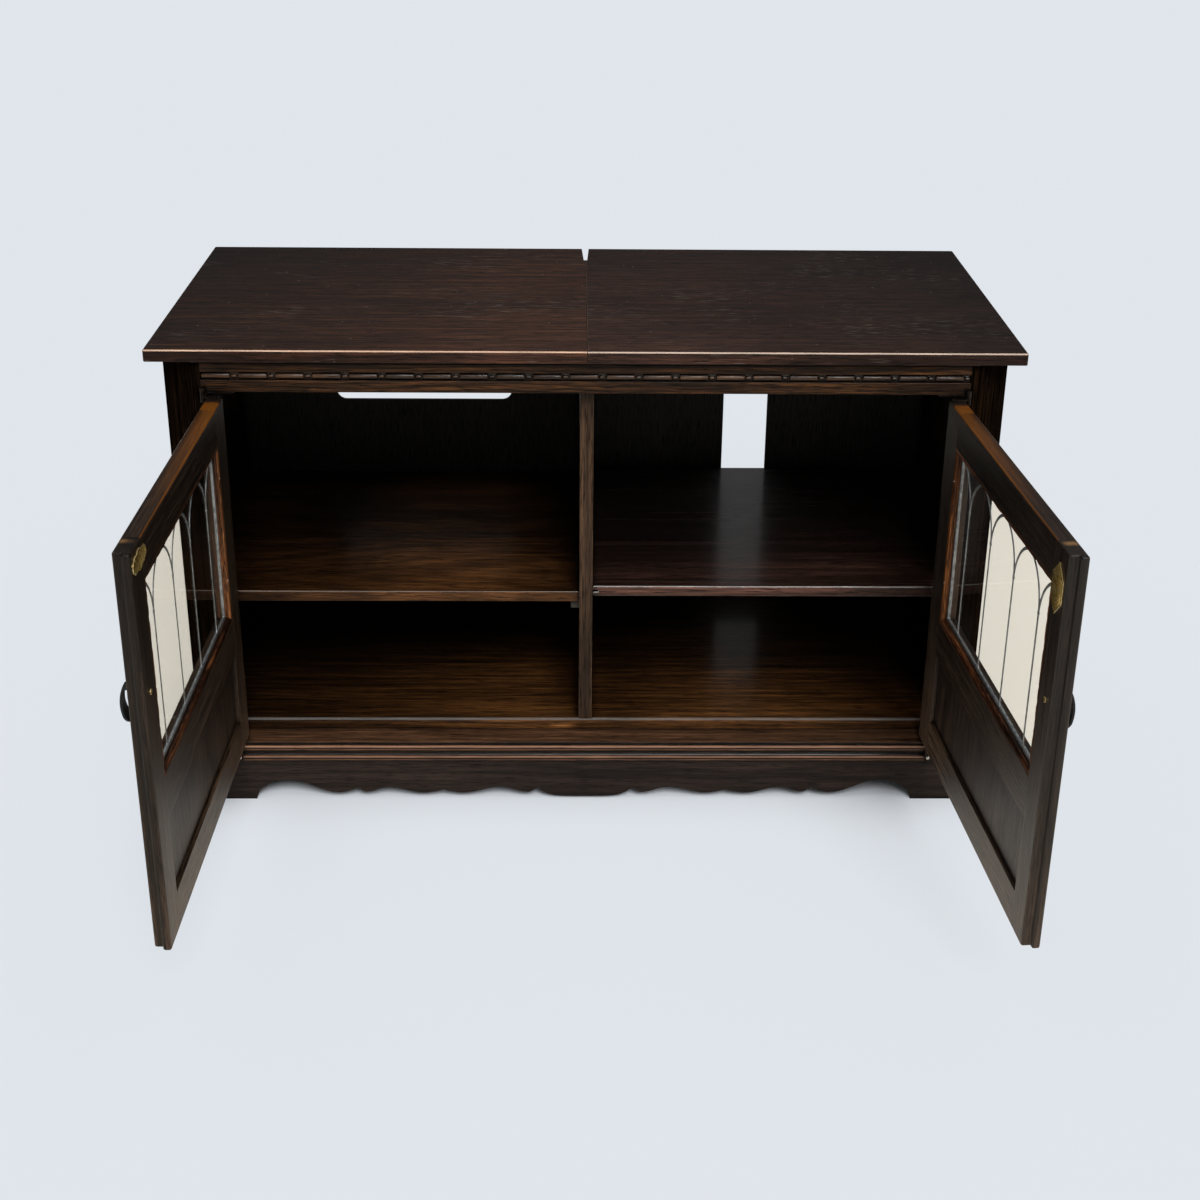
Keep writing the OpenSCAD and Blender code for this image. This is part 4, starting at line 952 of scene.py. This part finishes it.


# rubbed paints the cames' edges paler, as rubbed lead and a painted highlight
lead = metal(
    "weathered_lead", "9A9C9C", "66686A", 0.42, spread=9.0, grit=1.2, weight=0.8, rubbed="C4C6C6")
glass = clear_glass("clear_window_glass")
# painted light: the right door's beads, which stand in more light, have paler tones than the left
# door's
BEAD_TONES_WITH_PAINTED_LIGHT = {
    ("upright", "left"): ("1C0E07", "6E4022", "AE7446"),
    ("level", "left"): ("140B07", "30190D", "7A4A2A"),
    ("upright", "right"): ("1C0E07", "7C4620", "BC763E"),
    ("level", "right"): ("1A0D07", "4E2C19", "985A36"),
}
brad_steel = metal("bright_brad_steel", "C8C6C2", "8E8C8A", 0.25)
for side in SIDES:
    body = side + "_door"
    bm = bmesh.new()
    for u0, u1 in ((U0 + GAP, U0 + EDGE), (U1 - EDGE, U1 - GAP)):
        edge_came(bm, u0, u1, Z0 + GAP, Z1 - GAP)
    for z0, z1 in ((Z0 + GAP, Z0 + EDGE), (Z1 - EDGE, Z1 - GAP)):
        edge_came(bm, U0 + EDGE - LAP, U1 - EDGE + LAP, z0, z1)
    for k in range(LEADS):
        u = MIDDLE + (k - (LEADS - 1) / 2) * LEAD_PITCH
        upright_came(bm, u, Z0 + EDGE - 0.002, SPRING + 0.004)
        solder(bm, u, SPRING + 0.002, 0.0034)
        solder(bm, u, Z0 + EDGE, 0.0032)
        for way in (-1, 1):
            arched_came(bm, u, way)
            if k < LEADS - 1 or way < 0:
                solder(bm, u + way * LEAD_PITCH / 2, SPRING + ARCH_RISE, 0.0031)
    bm.transform(hang[side])
    piece("lead_cames_" + side, bm, lead, body, "door_lead_" + side)
    dress(glass, "door_glass_" + side)

    for run, turn in (("upright", UPRIGHT), ("level", rail_turn[side])):
        tones = BEAD_TONES_WITH_PAINTED_LIGHT[run, side]
        bead_oak = stained_oak(
            f"worn_oak_bead_{run}_{side}", *tones, turn=turn, streaks=4, lines=1.0, pitch=5,
            figure=0.5, blotch=0.6, worn="B8804E", wear=0.6, corner_shade=0.6,
            shift=1.1 + 0.9 * (side == "left"))
        bm = bmesh.new()
        if run == "upright":
            mitred_bead(bm, Vector((U0, 0, Z1)), Vector((U0, 0, Z0)), Vector((1, 0, 0)))
            mitred_bead(bm, Vector((U1, 0, Z0)), Vector((U1, 0, Z1)), Vector((-1, 0, 0)))
        else:
            mitred_bead(bm, Vector((U0, 0, Z0)), Vector((U1, 0, Z0)), Vector((0, 0, 1)))
            mitred_bead(bm, Vector((U1, 0, Z1)), Vector((U0, 0, Z1)), Vector((0, 0, -1)))
        bm.transform(hang[side])
        beads = piece(f"worn_beads_{run}_{side}", bm, bead_oak, body, "glazing_beads_" + side)

    bm = bmesh.new()
    for z in (Z0 + 0.057, Z1 - 0.042):
        bmesh.ops.create_uvsphere(
            bm, u_segments=12, v_segments=8, radius=BRAD_R,
            matrix=Matrix.Translation((U0 + 0.003, BEAD_V - BRAD_R + BRAD_PROUD, z)))
    bm.transform(hang[side])
    piece("glazing_brads_" + side, bm, brad_steel, body)


# Brass plates
# Plain pressed brass, aged to a soft gold with darker hollows, on the doors' inner
# faces: a wide one at the left, an upright one at the right. Each has a raised rim.

# rubbed paints the plates' edges paler, as rubbed brass and a painted highlight
brass = metal("aged_brass", "EACB7C", "A88438", 0.22, spread=7.0, weight=0.75, rubbed="FAEEC8")
for side in SIDES:
    bm = bmesh.new()
    bm.from_mesh(nodes["badge_" + side].data)
    bm.transform(hang[side].inverted())
    bmesh.ops.remove_doubles(bm, verts=bm.verts, dist=WELD)
    bmesh.ops.dissolve_limit(bm, angle_limit=math.radians(1), verts=bm.verts, edges=bm.edges)
    face = max(bm.faces, key=lambda f: f.calc_center_median().y)
    for thickness, depth in ((0.0016, 0.0), (0.0008, -0.0006)):
        bmesh.ops.inset_region(
            bm, faces=[face], thickness=thickness, depth=depth, use_even_offset=True)
    bm.transform(hang[side])
    piece("brass_plate_" + side, bm, brass, side + "_door", "badge_" + side)
dress(brass, "pull_screw_left", "pull_screw_right")


# Drop pulls
# Forged iron under black lacquer: a round plate with two ears and a bowed drop that
# hangs on stub pins and swings outward.

black_iron = metal("black_lacquered_iron", "1C1D20", "111113", 0.34, grit=1.5, weight=0.5)
dress(black_iron, "pull_plate_left", "pull_plate_right", "drop_pull_left", "drop_pull_right")


# Pivot hinges
# Browned steel plates in the gaps above and below the doors, with a pin and knuckle
# in front of the face. The lower carcass plate turns down over the reeds, where two
# bright domed screws hold it.

browned_steel = metal("browned_steel", "2E2723", "191513", 0.45)
for side in SIDES:
    for node in ("hinge_seat_top_", "hinge_seat_bottom_", "door_hinges_"):
        dress(browned_steel, node + side)

low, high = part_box("seat_screws")
HEAD_R, DOMED = 0.0026, 0.45
bm = bmesh.new()
for x in (low.x + HEAD_R, high.x - HEAD_R):
    for z in (low.z + HEAD_R, high.z - HEAD_R):
        bmesh.ops.create_uvsphere(
            bm, u_segments=20, v_segments=14, radius=HEAD_R,
            matrix=Matrix.Translation((x, high.y, z)) @ Matrix.Diagonal((1, DOMED, 1, 1)))
piece("domed_seat_screws", bm, brad_steel, "cabinet", "seat_screws")
